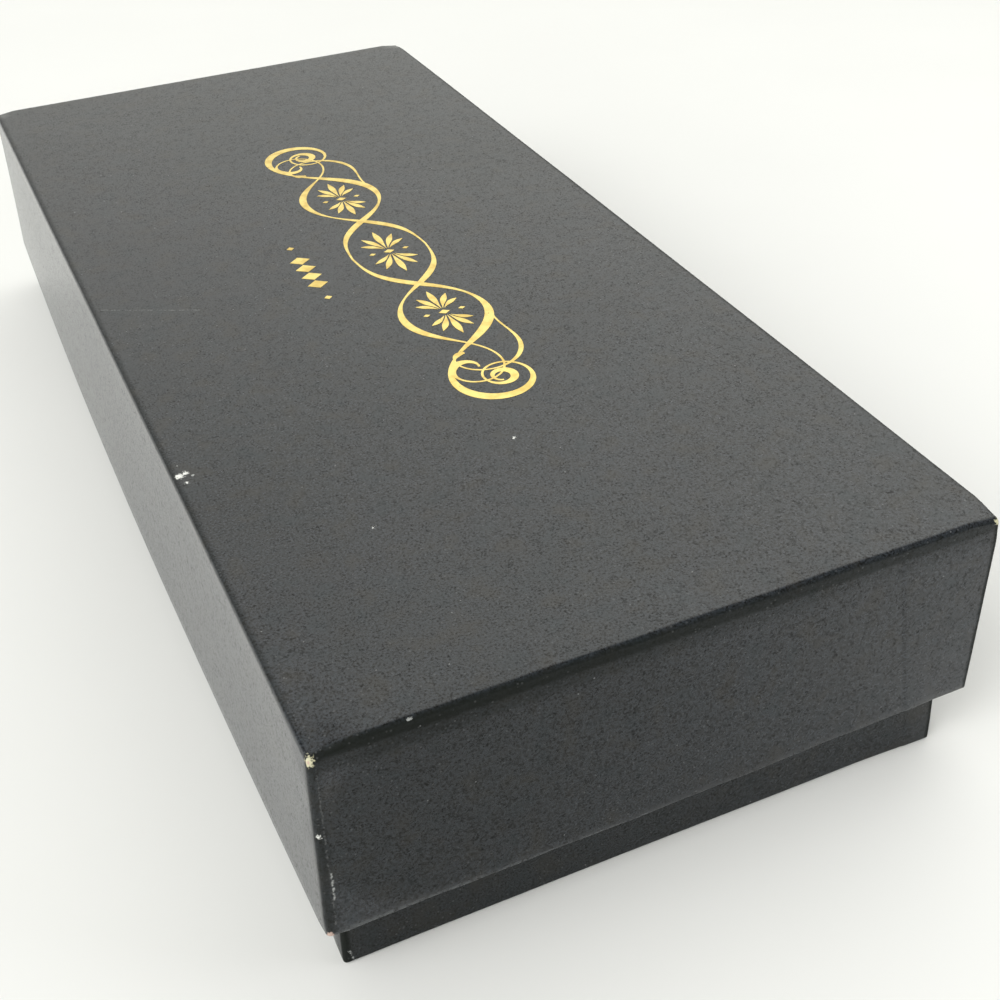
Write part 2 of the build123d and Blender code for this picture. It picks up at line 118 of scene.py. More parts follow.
class Graph:
    """The node tree of one material or world, with one method that makes any node."""

    def __init__(self, tree: bpy.types.NodeTree) -> None:
        """Empties the tree."""
        self.tree = tree
        self.tree.nodes.clear()
        self._place: Optional[Socket] = None

    def node(
        self,
        kind: str,
        settings: Optional[dict[str, object]] = None,
        inputs: Optional[Inputs] = None,
    ) -> bpy.types.Node:
        """Makes a node.

        Args:
            kind: the node's type, without its ShaderNode prefix.
            settings: the node's own properties, set before its sockets.
            inputs: a value or a link for each socket, by its name or number.

        Returns:
            The node.
        """
        made = self.tree.nodes.new("ShaderNode" + kind)
        for key, setting in (settings or {}).items():
            setattr(made, key, setting)
        for key, given in (inputs or {}).items():
            source = given.socket if isinstance(given, Value) else given
            if isinstance(source, Socket):
                self.tree.links.new(source, made.inputs[key])
            else:
                made.inputs[key].default_value = source
        return made

    def place(self) -> Socket:
        """The point on the piece, in metres."""
        if self._place is None:
            self._place = self.node("TexCoord").outputs["Object"]
        return self._place

    def height(self) -> Value:
        """The height above the table in millimetres."""
        return Value(self, self.node("SeparateXYZ", {}, {0: self.place()}).outputs[2]) * (1 / MM)

    def stretched(self, scale: Point) -> Socket:
        """The point on the piece with each axis scaled, so that a pattern runs long where it is small."""
        return self.node("Mapping", {}, {"Vector": self.place(), "Scale": scale}).outputs[0]

    def noise(
        self,
        size: float,
        detail: float = 2.0,
        rough: float = 0.5,
        scale: Point = UNIFORM,
    ) -> Value:
        """Cloudy noise from 0 to 1, mostly near 0.5.

        Args:
            size: the width of its clouds in millimetres.
            detail: how many finer layers it has.
            rough: how strong they are.
            scale: a factor for each axis.

        Returns:
            The noise.
        """
        where = self.place() if scale == UNIFORM else self.stretched(scale)
        inputs = {"Vector": where, "Scale": 1 / (size * MM), "Detail": detail, "Roughness": rough}
        return Value(self, self.node("TexNoise", {}, inputs).outputs[0])

    def cells(self, size: float) -> bpy.types.Node:
        """A Voronoi pattern whose cells are that many millimetres wide."""
        return self.node("TexVoronoi", {}, {"Vector": self.place(), "Scale": 1 / (size * MM)})

    def flecks(self, spacing: float, radius: float, share: float) -> Value:
        """Scattered small spots: the middle of some cells of a Voronoi pattern.

        Args:
            spacing: the cells' width in millimetres.
            radius: the spots' radius as a share of a cell.
            share: the share of the cells that have a spot.

        Returns:
            1 in a spot and 0 outside it.
        """
        cells = self.cells(spacing)
        luck = self.node("SeparateColor", {}, {0: cells.outputs["Color"]})
        near = Value(self, cells.outputs["Distance"]).between(radius, 0.5 * radius)
        return near * Value(self, luck.outputs[0]).between(1 - share, 1 - 0.9 * share)

    def along(self, start: Point, end: Point) -> Value:
        """How far along the line from start to end its nearest point is, from 0 to 1."""
        line = self.span(start, end)
        product = self.vector("DOT_PRODUCT", {0: self.away_from(start), 1: line}).outputs[1]
        return (Value(self, product) * (1 / sum(c * c for c in line))).greatest(0.0).least(1.0)

    def gap(self, start: Point, end: Point) -> Value:
        """The distance in millimetres from a point, or from the line between two points."""
        away = self.away_from(start)
        if start != end:
            scale = {0: self.span(start, end), "Scale": self.along(start, end)}
            away = self.difference(away, self.vector("SCALE", scale).outputs[0])
        return Value(self, self.vector("LENGTH", {0: away}).outputs[1]) * (1 / MM)

    @staticmethod
    def span(start: Point, end: Point) -> list[float]:
        """The vector in metres between two points in millimetres."""
        return [(b - a) * MM for a, b in zip(start, end)]

    def away_from(self, start: Point) -> Socket:
        """The vector in metres from a point in millimetres to the point on the piece."""
        return self.difference(self.place(), [c * MM for c in start])

    def difference(self, first: Input, second: Input) -> Socket:
        """The first vector minus the second."""
        return self.vector("SUBTRACT", {0: first, 1: second}).outputs[0]

    def vector(self, operation: str, inputs: Inputs) -> bpy.types.Node:
        """A Vector Math node of that operation."""
        return self.node("VectorMath", {"operation": operation}, inputs)

    def mixed(self, share: Input, first: Input, second: Input) -> Socket:
        """The first colour where share is 0 and the second where it is 1."""
        colours = {6: opaque(first), 7: opaque(second), 0: share}
        return self.node("Mix", {"data_type": "RGBA"}, colours).outputs[2]

    def bumped(self, height: Value, depth: float, strength: float = 1.0) -> Socket:
        """A normal that follows a height from 0 to 1 which stands for depth in millimetres."""
        inputs = {"Height": height, "Distance": depth * MM, "Strength": strength}
        return self.node("Bump", {}, inputs).outputs[0]

    def surface(self, inputs: Inputs) -> None:
        """Ends a material with a Principled shader that has these inputs."""
        shader = self.node("BsdfPrincipled", {}, inputs)
        self.node("OutputMaterial", {}, {"Surface": shader.outputs[0]})


def opaque(colour: Input) -> Input:
    """A colour given as three numbers, with an alpha of 1. A link stays as it is."""
    return (*colour, 1.0) if isinstance(colour, tuple) and len(colour) == 3 else colour


# ---- Finishes -----------------------------------------------------------------------------------
class MarkKind(Enum):
    """What a mark on the covering paper shows, with its colour."""

    CHIP = (0.78, 0.79, 0.77)
    BOARD = (0.52, 0.50, 0.35)
    RUBBED_BOARD = (0.45, 0.33, 0.29)
    SCUFF = (0.30, 0.31, 0.31)
    FAINT = (0.062, 0.065, 0.067)


@dataclass(frozen=True)
class Mark:
    """A worn spot, or a worn line where it has an end, in millimetres."""

    start: Point
    radius: float
    end: Optional[Point] = None


Marks = dict[MarkKind, tuple[Mark, ...]]


@dataclass(frozen=True)
class DullFoldAndShadeBand:
    """A fold that handling has worn dull, or a band of painted shade on a fold or a wall, in millimetres.

    It has the share of the gloss that is kept at its start and at its end, and how far from the line that
    holds in full and at all.
    """

    start: Point
    end: Point
    kept: tuple[float, float]
    inner: float
    outer: float


@dataclass(frozen=True)
class Finish:
    """A material that is made once and shared."""

    name: str

    def inputs(self, graph: Graph) -> Inputs:
        """The Principled shader's inputs, with the nodes that feed them."""
        raise NotImplementedError

    def material(self) -> bpy.types.Material:
        """The material of this finish, made when it is first asked for."""
        found = bpy.data.materials.get(self.name)
        if found is None:
            found = bpy.data.materials.new(self.name)
            found.use_nodes = True
            graph = Graph(found.node_tree)
            graph.surface(self.inputs(graph))
        return found


@dataclass(frozen=True)
class CoveringPaper(Finish):
    """Black paper with a fine grain, a gloss worn off the folds, bands of painted shade, a worn rim with a
    painted highlight, and the case's own marks.

    Widths, depths and heights are in millimetres. The rest are colours and shares.
    """

    marks: Marks = field(default_factory=dict)
    folds: tuple[DullFoldAndShadeBand, ...] = ()
    rubbed_and_highlight_below: Optional[float] = None

    dark: Colour = (0.001, 0.0013, 0.0018)
    light: Colour = (0.025, 0.0305, 0.039)
    cool: Colour = (0.008, 0.016, 0.022)
    warm: Colour = (0.021, 0.017, 0.011)
    # Painted shade: the colour of the bands of painted shade, and of worn folds.
    dull_and_shaded: Colour = (0.0125, 0.0142, 0.0125)
    fibre: Colour = (0.16, 0.165, 0.17)
    # Painted highlight, partly wear: the lighter colour of the rim's edge.
    rubbed: Colour = (0.05, 0.056, 0.06)

    grain: float = 0.38
    grain_depth: float = 0.05
    cloud: float = 26.0
    mottle: float = 5.0
    tone: float = 0.45
    contrast: float = 3.2
    cloud_contrast: float = 0.3
    mottling: float = 0.35
    fibres: float = 0.8
    specks: float = 0.2

    roughness: float = 0.6
    gloss: float = 1.04
    least_gloss: float = 0.3
    gloss_contrast: float = 2.4
    gloss_patch: float = 1.3
    gloss_patches: float = 0.9
    gloss_roughness: float = 0.16
    gloss_ior: float = 1.51

    mark_edge: tuple[float, float] = (0.75, 0.6)
    torn_edge: tuple[float, float] = (0.4, 1.2)

    def inputs(self, graph: Graph) -> Inputs:
        """Grain in colour, height and gloss, with the marks over it.

        All the gloss is the coat's, which is thin over the grain's hollows and gone from the folds and the
        bands of painted shade.
        """
        grain = graph.noise(self.grain, 2.0, 0.75)
        kept = self.kept_gloss(graph)
        patches = (graph.noise(self.gloss_patch, 2.0, 0.6) - 0.5) * self.gloss_patches
        gloss = (grain - 0.5) * self.gloss_contrast + patches + self.gloss
        return {
            "Base Color": self.marked(graph, self.ground(graph, grain, kept)),
            "Roughness": self.roughness,
            "Specular IOR Level": 0.0,
            # Painted shade: the gloss is lower on worn folds and in bands of painted shade.
            "Coat Weight": gloss.greatest(self.least_gloss).least(1.0) * kept,
            "Coat Roughness": self.gloss_roughness,
            "Coat IOR": self.gloss_ior,
            "Normal": graph.bumped(grain, self.grain_depth),
        }

    def ground(self, graph: Graph, grain: Value, kept: Input) -> Socket:
        """The paper's colour: grain and clouds, mottled cool and warm, dull on worn folds and in bands of
        painted shade, with fibres.
        """
        cloud = graph.noise(self.cloud, 2.0, 0.6)
        tone = (grain - 0.5) * self.contrast + (cloud - 0.5) * self.cloud_contrast + self.tone
        colour = graph.mixed(tone.greatest(0.0).least(1.0), self.dark, self.light)
        hue = graph.noise(self.mottle, 2.0, 0.5)
        colour = graph.mixed(hue.between(0.52, 0.72) * self.mottling, colour, self.cool)
        colour = graph.mixed(hue.between(0.48, 0.28) * self.mottling, colour, self.warm)
        # Painted shade: the colour goes dull in the shade bands, as on worn folds.
        colour = graph.mixed(kept, self.dull_and_shaded, colour)
        fibres = graph.flecks(2.3, 0.07, 0.22)
        specks = graph.flecks(0.62, 0.34, 0.2) * cloud.between(0.36, 0.56)
        for share in (fibres * self.fibres, specks * self.specks):
            colour = graph.mixed(share, colour, self.fibre)
        return colour

    def marked(self, graph: Graph, colour: Socket) -> Socket:
        """A colour with the rim lighter, partly from wear and partly as a painted highlight, and the marks
        over it.
        """
        if self.rubbed_and_highlight_below is not None:
            # Painted highlight, partly wear: a ragged lighter band just above the rim.
            ragged = graph.noise(1.3, 3.0, 0.7).between(0.38, 0.58)
            low = graph.height().between(self.rubbed_and_highlight_below + 0.9, self.rubbed_and_highlight_below + 0.3)
            colour = graph.mixed(low * ragged, colour, self.rubbed)
        for kind in MarkKind:
            if kind in self.marks:
                colour = graph.mixed(self.worn(graph, kind), colour, kind.value)
        return colour

    def kept_gloss(self, graph: Graph) -> Input:
        """The share of the gloss that is left: a fold's or a shade band's own share on it, and all of it
        elsewhere.
        """
        ragged = (graph.noise(2.2, 3.0, 0.7) - 0.5) * 0.5
        kept: Input = 1.0
        for line in self.folds:
            away = (graph.gap(line.start, line.end) + ragged).between(line.inner, line.outer)
            first, last = line.kept
            here = graph.along(line.start, line.end) * (last - first) + first
            kept = kept * (away * (1 - here) + here)
        return kept

    def worn(self, graph: Graph, kind: MarkKind) -> Value:
        """Where the marks of one kind show: inside their radius, with a ragged edge.

        The edge is as wide and reaches as far as its pair says, which is finer where paper is torn.
        """
        past = [graph.gap(mark.start, mark.end or mark.start) - mark.radius for mark in self.marks[kind]]
        size, reach = self.torn_edge if kind in (MarkKind.CHIP, MarkKind.BOARD) else self.mark_edge
        edge = (graph.noise(size, 3.0, 0.75) - 0.5) * (2 * reach)
        return (reduce(Value.least, past) + edge).between(0.12, -0.12)


@dataclass(frozen=True)
class PlainSheet(Finish):
    """Paper, board or tape of one colour with a little cloudiness and a fine tooth."""

    colour: Colour
    shade: Colour
    tooth: float = 0.3
    depth: float = 0.03
    roughness: float = 0.8
    cloud: float = 9.0

    def inputs(self, graph: Graph) -> Inputs:
        """Clouds between the two colours, and the tooth as fine bump."""
        tooth = graph.noise(self.tooth, 2.0, 0.6)
        cloud = graph.noise(self.cloud, 3.0, 0.6)
        share = (tooth * 0.5 + cloud * 0.5).between(0.32, 0.68)
        return {
            "Base Color": graph.mixed(share, self.shade, self.colour),
            "Roughness": self.roughness,
            "Normal": graph.bumped(tooth, self.depth),
        }


@dataclass(frozen=True)
class CellFoam(Finish):
    """Closed-cell foam: tiny pits over a dark matte ground."""

    colour: Colour = (0.024, 0.024, 0.026)
    pit: Colour = (0.008, 0.008, 0.009)
    cell: float = 0.55

    def inputs(self, graph: Graph) -> Inputs:
        """Cells of a Voronoi pattern as pits, in colour and in height."""
        height = Value(graph, graph.cells(self.cell).outputs["Distance"]).between(0.75, 0.2)
        return {
            "Base Color": graph.mixed(height, self.pit, self.colour),
            "Roughness": 0.85,
            "Normal": graph.bumped(1 - height, 0.12, 0.8),
        }


@dataclass(frozen=True)
class Flock(Finish):
    """Short black pile that catches light at a low angle, with brushed patches."""

    colour: Colour = (0.008, 0.008, 0.009)
    brushed: Colour = (0.036, 0.036, 0.040)

    def inputs(self, graph: Graph) -> Inputs:
        """Brushed clouds and the pile's ends in colour, the ends as fine bump as well, and a sheen."""
        pile = graph.noise(0.3, 2.0, 0.75)
        brushed = graph.noise(14.0, 3.0, 0.6).between(0.35, 0.7) * 0.45 + (pile - 0.5) * 2.0 + 0.2
        return {
            "Base Color": graph.mixed(brushed.greatest(0.0).least(1.0), self.colour, self.brushed),
            "Roughness": 0.95,
            "Sheen Weight": 0.35,
            "Sheen Roughness": 0.4,
            "Sheen Tint": (0.5, 0.5, 0.55, 1.0),
            "Normal": graph.bumped(pile, 0.12, 0.9),
        }


@dataclass(frozen=True)
class Wood(Finish):
    """Wood with its grain along one axis: rings bent by noise, fine pores and a varnish."""

    pale: Colour
    dark: Colour
    along: Point = (1.0, 0.08, 1.0)
    ring: float = 2.2
    coat: float = 0.0
    roughness: float = 0.5

    def inputs(self, graph: Graph) -> Inputs:
        """Stretched noise drives a sine, so that dark late wood runs in lines; pores are finer noise."""
        bent = graph.noise(self.ring * 3, 3.0, 0.55, self.along)
        lines = (bent * (6 * math.pi)).sine() * 0.5 + 0.5
        pores = graph.noise(0.35, 2.0, 0.6, tuple(0.4 * c if c < 1 else c for c in self.along))
        figure = lines * 0.6 + pores.between(0.35, 0.6) * 0.4
        return {
            "Base Color": graph.mixed(figure, self.dark, self.pale),
            "Roughness": self.roughness,
            "Coat Weight": self.coat,
            "Coat Roughness": 0.12,
            "Normal": graph.bumped(pores, 0.02, 0.5),
        }


@dataclass(frozen=True)
class Metal(Finish):
    """Metal with fine rubbing marks that run one way, and slightly clouded gloss."""

    colour: Colour
    tarnish: Colour
    polish: float = 0.2
    along: Point = (1.0, 0.1, 1.0)
    rubbing: float = 0.004

    def inputs(self, graph: Graph) -> Inputs:
        """Stretched noise as rubbing marks in height and gloss, and clouds of tarnish."""
        lines = graph.noise(0.12, 2.0, 0.6, self.along)
        cloud = graph.noise(6.0, 3.0, 0.6)
        return {
            "Base Color": graph.mixed(cloud.between(0.35, 0.7), self.colour, self.tarnish),
            "Metallic": 1.0,
            "Roughness": self.polish + 0.10 * (cloud - 0.4) + 0.06 * lines,
            "Normal": graph.bumped(lines, self.rubbing),
        }


@dataclass(frozen=True)
class GoldFoil(Finish):
    """Hot-stamped gold foil: bright metal that has the paper's grain pressed through it."""

    colour: Colour = (0.93, 0.74, 0.26)
    shade: Colour = (0.72, 0.52, 0.15)
    roughness: float = 0.34
    paper: Colour = (0.03, 0.03, 0.03)

    def inputs(self, graph: Graph) -> Inputs:
        """The grain in height, clouds in colour, and pinholes where the paper shows."""
        grain = graph.noise(0.42, 2.0, 0.6)
        cloud = graph.noise(2.6, 2.0, 0.6)
        hole = graph.noise(0.5, 2.0, 0.6).between(0.29, 0.24)
        colour = graph.mixed(cloud.between(0.62, 0.3), self.colour, self.shade)
        return {
            "Base Color": graph.mixed(hole, colour, self.paper),
            "Metallic": 1 - hole,
            "Roughness": self.roughness + 0.2 * (cloud - 0.5),
            "Normal": graph.bumped(grain, 0.03, 0.8),
        }


@dataclass(frozen=True)
class Moulded(Finish):
    """Moulded plastic with a faint satin texture."""

    colour: Colour
    scuffed: Colour
    roughness: float = 0.38

    def inputs(self, graph: Graph) -> Inputs:
        """Faint clouds in colour and gloss over a very fine texture."""
        cloud = graph.noise(3.0, 3.0, 0.6)
        texture = graph.noise(0.15, 1.0)
        return {
            "Base Color": graph.mixed(cloud.between(0.45, 0.75), self.colour, self.scuffed),
            "Roughness": self.roughness + 0.15 * (cloud - 0.5),
            "Normal": graph.bumped(texture, 0.008),
        }


@dataclass(frozen=True)
class Clear(Finish):
    """Clear glass, or a dark liquid that shows only its gloss."""

    colour: Colour
    clearness: float
    ripple: float = 0.01
    ior: float = 1.5

    def inputs(self, graph: Graph) -> Inputs:
        """A smooth shader whose surface is hardly uneven, as pressed glass is."""
        return {
            "Base Color": opaque(self.colour),
            "Roughness": 0.02,
            "Transmission Weight": self.clearness,
            "IOR": self.ior,
            "Normal": graph.bumped(graph.noise(5.0, 1.0), self.ripple),
        }


@dataclass(frozen=True)
class Tabletop(Finish):
    """The pale surface that the case stands on."""

    colour: Colour = (0.825, 0.83, 0.832)
    shade: Colour = (0.795, 0.80, 0.802)

    def inputs(self, graph: Graph) -> Inputs:
        """Broad faint clouds on a matte ground."""
        return {
            "Base Color": graph.mixed(graph.noise(60.0, 3.0), self.shade, self.colour),
            "Roughness": 0.7,
            "Specular IOR Level": 0.2,
        }


# ---- Surfaces worked out as arrays --------------------------------------------------------------
def eased(x: Array) -> Array:
    """x held between 0 and 1 and eased at both ends: 3 x squared minus 2 x cubed."""
    held = np.clip(x, 0.0, 1.0)
    return held * held * (3 - 2 * held)


def fold(inset: float, height: float, radius: float, start: float, end: float, steps: int) -> Array:
    """Rows of (inset, height) round an arc.

    The arc's centre is at that inset and height. At angle 0 the arc is at its top, at 90 degrees at its
    outer side, at 180 at its bottom: inset minus radius times the sine, height plus radius times the cosine.

    Args:
        inset: the centre's distance inside the outline.
        height: the centre's height.
        radius: the arc's radius.
        start: the first angle in degrees.
        end: the last angle.
        steps: the number of pieces that the arc is cut into.

    Returns:
        An array of steps + 1 rows.
    """
    angle = np.radians(np.linspace(start, end, steps + 1))
    return np.stack([inset - radius * np.sin(angle), height + radius * np.cos(angle)], axis=1)


def straight(first: Sequence[float], last: Sequence[float], steps: int) -> Array:
    """Rows evenly spaced from first to last, without the two themselves."""
    share = np.linspace(0, 1, steps + 1)[1:-1, None]
    return np.asarray(first) * (1 - share) + np.asarray(last) * share


def fractions(count: int, *dense: tuple[float, float, int]) -> Array:
    """Shares from 0 to 1: evenly spaced, and closer together in the given stretches and at both ends."""
    ends = np.array(NEAR_ENDS)
    stretches = [np.linspace(*stretch) for stretch in dense]
    return np.unique(np.round(np.concatenate([np.linspace(0, 1, count), ends, 1 - ends, *stretches]), 5))


@dataclass(frozen=True)
class Outline:
    """A rectangle seen from above, in millimetres, and where its sides are sampled."""

    x0: float
    x1: float
    y0: float
    y1: float
    across: Array = field(default_factory=lambda: fractions(24))
    along: Array = field(default_factory=lambda: fractions(48))
    corner_steps: int = 8

    @classmethod
    def of(cls, node: str, grow: float = 0.0, **sampling: object) -> "Outline":
        """The outline of a node's box, a little larger where grow is given."""
        low, high = (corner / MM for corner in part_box(node))
        return cls(low.x - grow, high.x + grow, low.y - grow, high.y + grow, **sampling)

    def rings(self, insets: Array, radii: Array, heights: Array) -> Array:
        """Closed rings round the outline, one for each row of insets, corner radii and heights.

        A ring goes round counterclockwise from the front left: each side is sampled between the ends of
        its corners' arcs, and each corner is a quarter circle.

        Args:
            insets: one for each ring, or one for each ring's front, right, back and left side.
            radii: one for each ring, or one for each ring's corner, from the front right counterclockwise.
            heights: one for each ring.

        Returns:
            An array of rings by columns by 3.
        """
        front, right, back, left = np.moveaxis(self._by_four(insets), 1, 0)
        radius = np.moveaxis(self._by_four(radii), 1, 0)
        left, right, front, back = self.x0 + left, self.x1 - right, self.y0 + front, self.y1 - back
        across, along = self.across, self.along
        turn = np.linspace(0, np.pi / 2, self.corner_steps + 1)[1:-1]
        sine, cosine = np.sin(turn), np.cos(turn)
        flat_x, flat_y = 0 * across, 0 * along
        x = [
            left + radius[3] + (right - left - radius[3] - radius[0]) * across,
            right - radius[0] * (1 - sine),
            right + flat_y,
            right - radius[1] * (1 - cosine),
            (left + radius[2] + (right - left - radius[1] - radius[2]) * across)[:, ::-1],
            left + radius[2] * (1 - sine),
            left + flat_y,
            left + radius[3] * (1 - cosine),
        ]
        y = [
            front + flat_x,
            front + radius[0] * (1 - cosine),
            front + radius[0] + (back - front - radius[0] - radius[1]) * along,
            back - radius[1] * (1 - sine),
            back + flat_x,
            back - radius[2] * (1 - cosine),
            (front + radius[3] + (back - front - radius[2] - radius[3]) * along)[:, ::-1],
            front + radius[3] * (1 - sine),
        ]
        ring_x, ring_y = np.concatenate(x, axis=1), np.concatenate(y, axis=1)
        return np.stack([ring_x, ring_y, np.zeros_like(ring_x) + heights[:, None]], axis=-1)

    @staticmethod
    def _by_four(given: Array) -> Array:
        """One value for each ring, or four, as an array of rings by 4 by 1."""
        columns = given[:, None] if given.ndim == 1 else given
        return np.broadcast_to(columns, (len(given), 4))[..., None]

    def sheet(self, inset: float, height: float) -> Array:
        """A level grid over the outline, less an inset, that meets the rings' sides."""
        x = self.x0 + inset + (self.x1 - self.x0 - 2 * inset) * self.across
        y = self.y0 + inset + (self.y1 - self.y0 - 2 * inset) * self.along
        grid_x, grid_y = np.meshgrid(x, y)
        return np.stack([grid_x, grid_y, np.full_like(grid_x, height)], axis=-1)


def enclosed(points: Array, loop: Array) -> Array:
    """Whether each point is inside a closed loop: a ray from it crosses the loop an odd number of times."""
    x, y = points[:, :1], points[:, 1:]
    near, far = loop.T[:, None], np.roll(loop, -1, axis=0).T[:, None]
    spans = (near[1] > y) != (far[1] > y)
    rise = np.where(spans, far[1] - near[1], 1.0)
    crossed = spans & (x < near[0] + (far[0] - near[0]) * (y - near[1]) / rise)
    return crossed.sum(axis=1) % 2 == 1


class Surface:
    """A mesh in the making: arrays of points in millimetres, and the faces that join them."""

    def __init__(self) -> None:
        """Starts with no points."""
        self._points: list[Array] = []
        self._faces: list[Array] = []
        self._count = 0

    def add(self, points: Array, faces: Array) -> None:
        """Adds points and the faces that index them."""
        self._points.append(points.reshape(-1, 3))
        self._faces.append(faces + self._count)
        self._count += len(self._points[-1])

    def grid(
        self,
        points: Array,
        wrap: bool = False,
        flip: bool = False,
        keep: Optional[Array] = None,
    ) -> None:
        """Adds a grid of points joined by four-cornered faces.

        A face goes from (row, column) to the next row, the next column, and back, so rows that go down a
        ring that runs counterclockwise face outwards.

        Args:
            points: an array of rows by columns by 3.
            wrap: join the last column to the first.
            flip: turn the faces round.
            keep: for each column of a wrapped grid, whether faces may use it.
        """
        rows, columns = points.shape[:2]
        index = np.arange(rows * columns).reshape(rows, columns)
        if wrap:
            index = np.concatenate([index, index[:, :1]], axis=1)
        quads = np.stack([index[:-1, :-1], index[1:, :-1], index[1:, 1:], index[:-1, 1:]], axis=-1)
        if keep is not None:
            quads = quads[:, keep & np.roll(keep, -1)]
        quads = quads.reshape(-1, 4)
        self.add(points, quads[:, ::-1] if flip else quads)

    def moved(self, change: Callable[[Array], Array]) -> "Surface":
        """This surface with every point put through a function of an array of points."""
        self._points = [change(points) for points in self._points]
        return self

    def build(self, name: str, crease: float = 38.0) -> Piece:
        """Makes the object: its points in metres, welded where they meet, smooth but for sharp folds.

        Args:
            name: the object's name.
            crease: the angle in degrees past which an edge between two faces is sharp.

        Returns:
            The object, at the origin.
        """
        corners = np.concatenate([faces.ravel() for faces in self._faces])
        totals = np.concatenate([np.full(len(faces), faces.shape[1]) for faces in self._faces])
        used, corners = np.unique(corners, return_inverse=True)
        points = np.concatenate(self._points)[used] * MM
        mesh = bpy.data.meshes.new(name)
        mesh.vertices.add(len(points))
        mesh.vertices.foreach_set("co", points.astype(np.float32).ravel())
        mesh.loops.add(len(corners))
        mesh.loops.foreach_set("vertex_index", corners.astype(np.int32))
        mesh.polygons.add(len(totals))
        starts = np.concatenate([[0], np.cumsum(totals)[:-1]])
        mesh.polygons.foreach_set("loop_start", starts.astype(np.int32))
        mesh.update(calc_edges=True)
        work = bmesh.new()
        work.from_mesh(mesh)
        bmesh.ops.remove_doubles(work, verts=work.verts, dist=WELD)
        bmesh.ops.dissolve_degenerate(work, edges=work.edges, dist=WELD / 2)
        work.to_mesh(mesh)
        work.free()
        mesh.polygons.foreach_set("use_smooth", np.ones(len(mesh.polygons), bool))
        mesh.set_sharp_from_angle(angle=math.radians(crease))
        return placed(name, mesh)


def thicken(piece: Piece, thickness: float) -> None:
    """Gives a sheet its thickness, behind the side that it shows."""
    solidify = piece.modifiers.new("thickness", "SOLIDIFY")
    solidify.thickness = thickness * MM
    solidify.offset = -1.0
    solidify.use_even_offset = True


def fit(piece: Piece, finish: Finish, slot: str, body: str, *nodes: str) -> Piece:
    """Dresses a new piece, lets it ride on a body and stand for nodes, and reports it."""
    piece.data.materials.append(finish.material())
    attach(piece, body)
    if nodes:
        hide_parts(*nodes)
    LOG.info("%s: %d faces on body %s", piece.name, len(piece.data.polygons), body)
    return piece


def placed(name: str, data: bpy.types.ID) -> Piece:
    """A new object of that data, at the origin of the scene."""
    made = bpy.data.objects.new(name, data)
    bpy.context.scene.collection.objects.link(made)
    return made


def levels(node: str) -> tuple[float, float]:
    """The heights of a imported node's underside and top in millimetres."""
    low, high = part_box(node)
    return low.z / MM, high.z / MM


def dress(node: str, finish: Finish) -> None:
    """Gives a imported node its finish."""
    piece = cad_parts[node]
    for place in piece.material_slots:
        place.material = finish.material()
    LOG.info("%s: dressed in %s", node, finish.name)


# ---- The sheets of the case ---------------------------------------------------------------------
@dataclass(frozen=True)
class Crush:
    """A knocked corner: points near it are pushed in."""

    corner: Point
    reach: float
    push: Point

    def __call__(self, points: Array) -> Array:
        """Moves each point by the push, eased from all of it at the corner to none at the reach."""
        distance = np.linalg.norm(points - np.array(self.corner), axis=-1, keepdims=True)
        return points + eased(1 - distance / self.reach) * np.array(self.push)


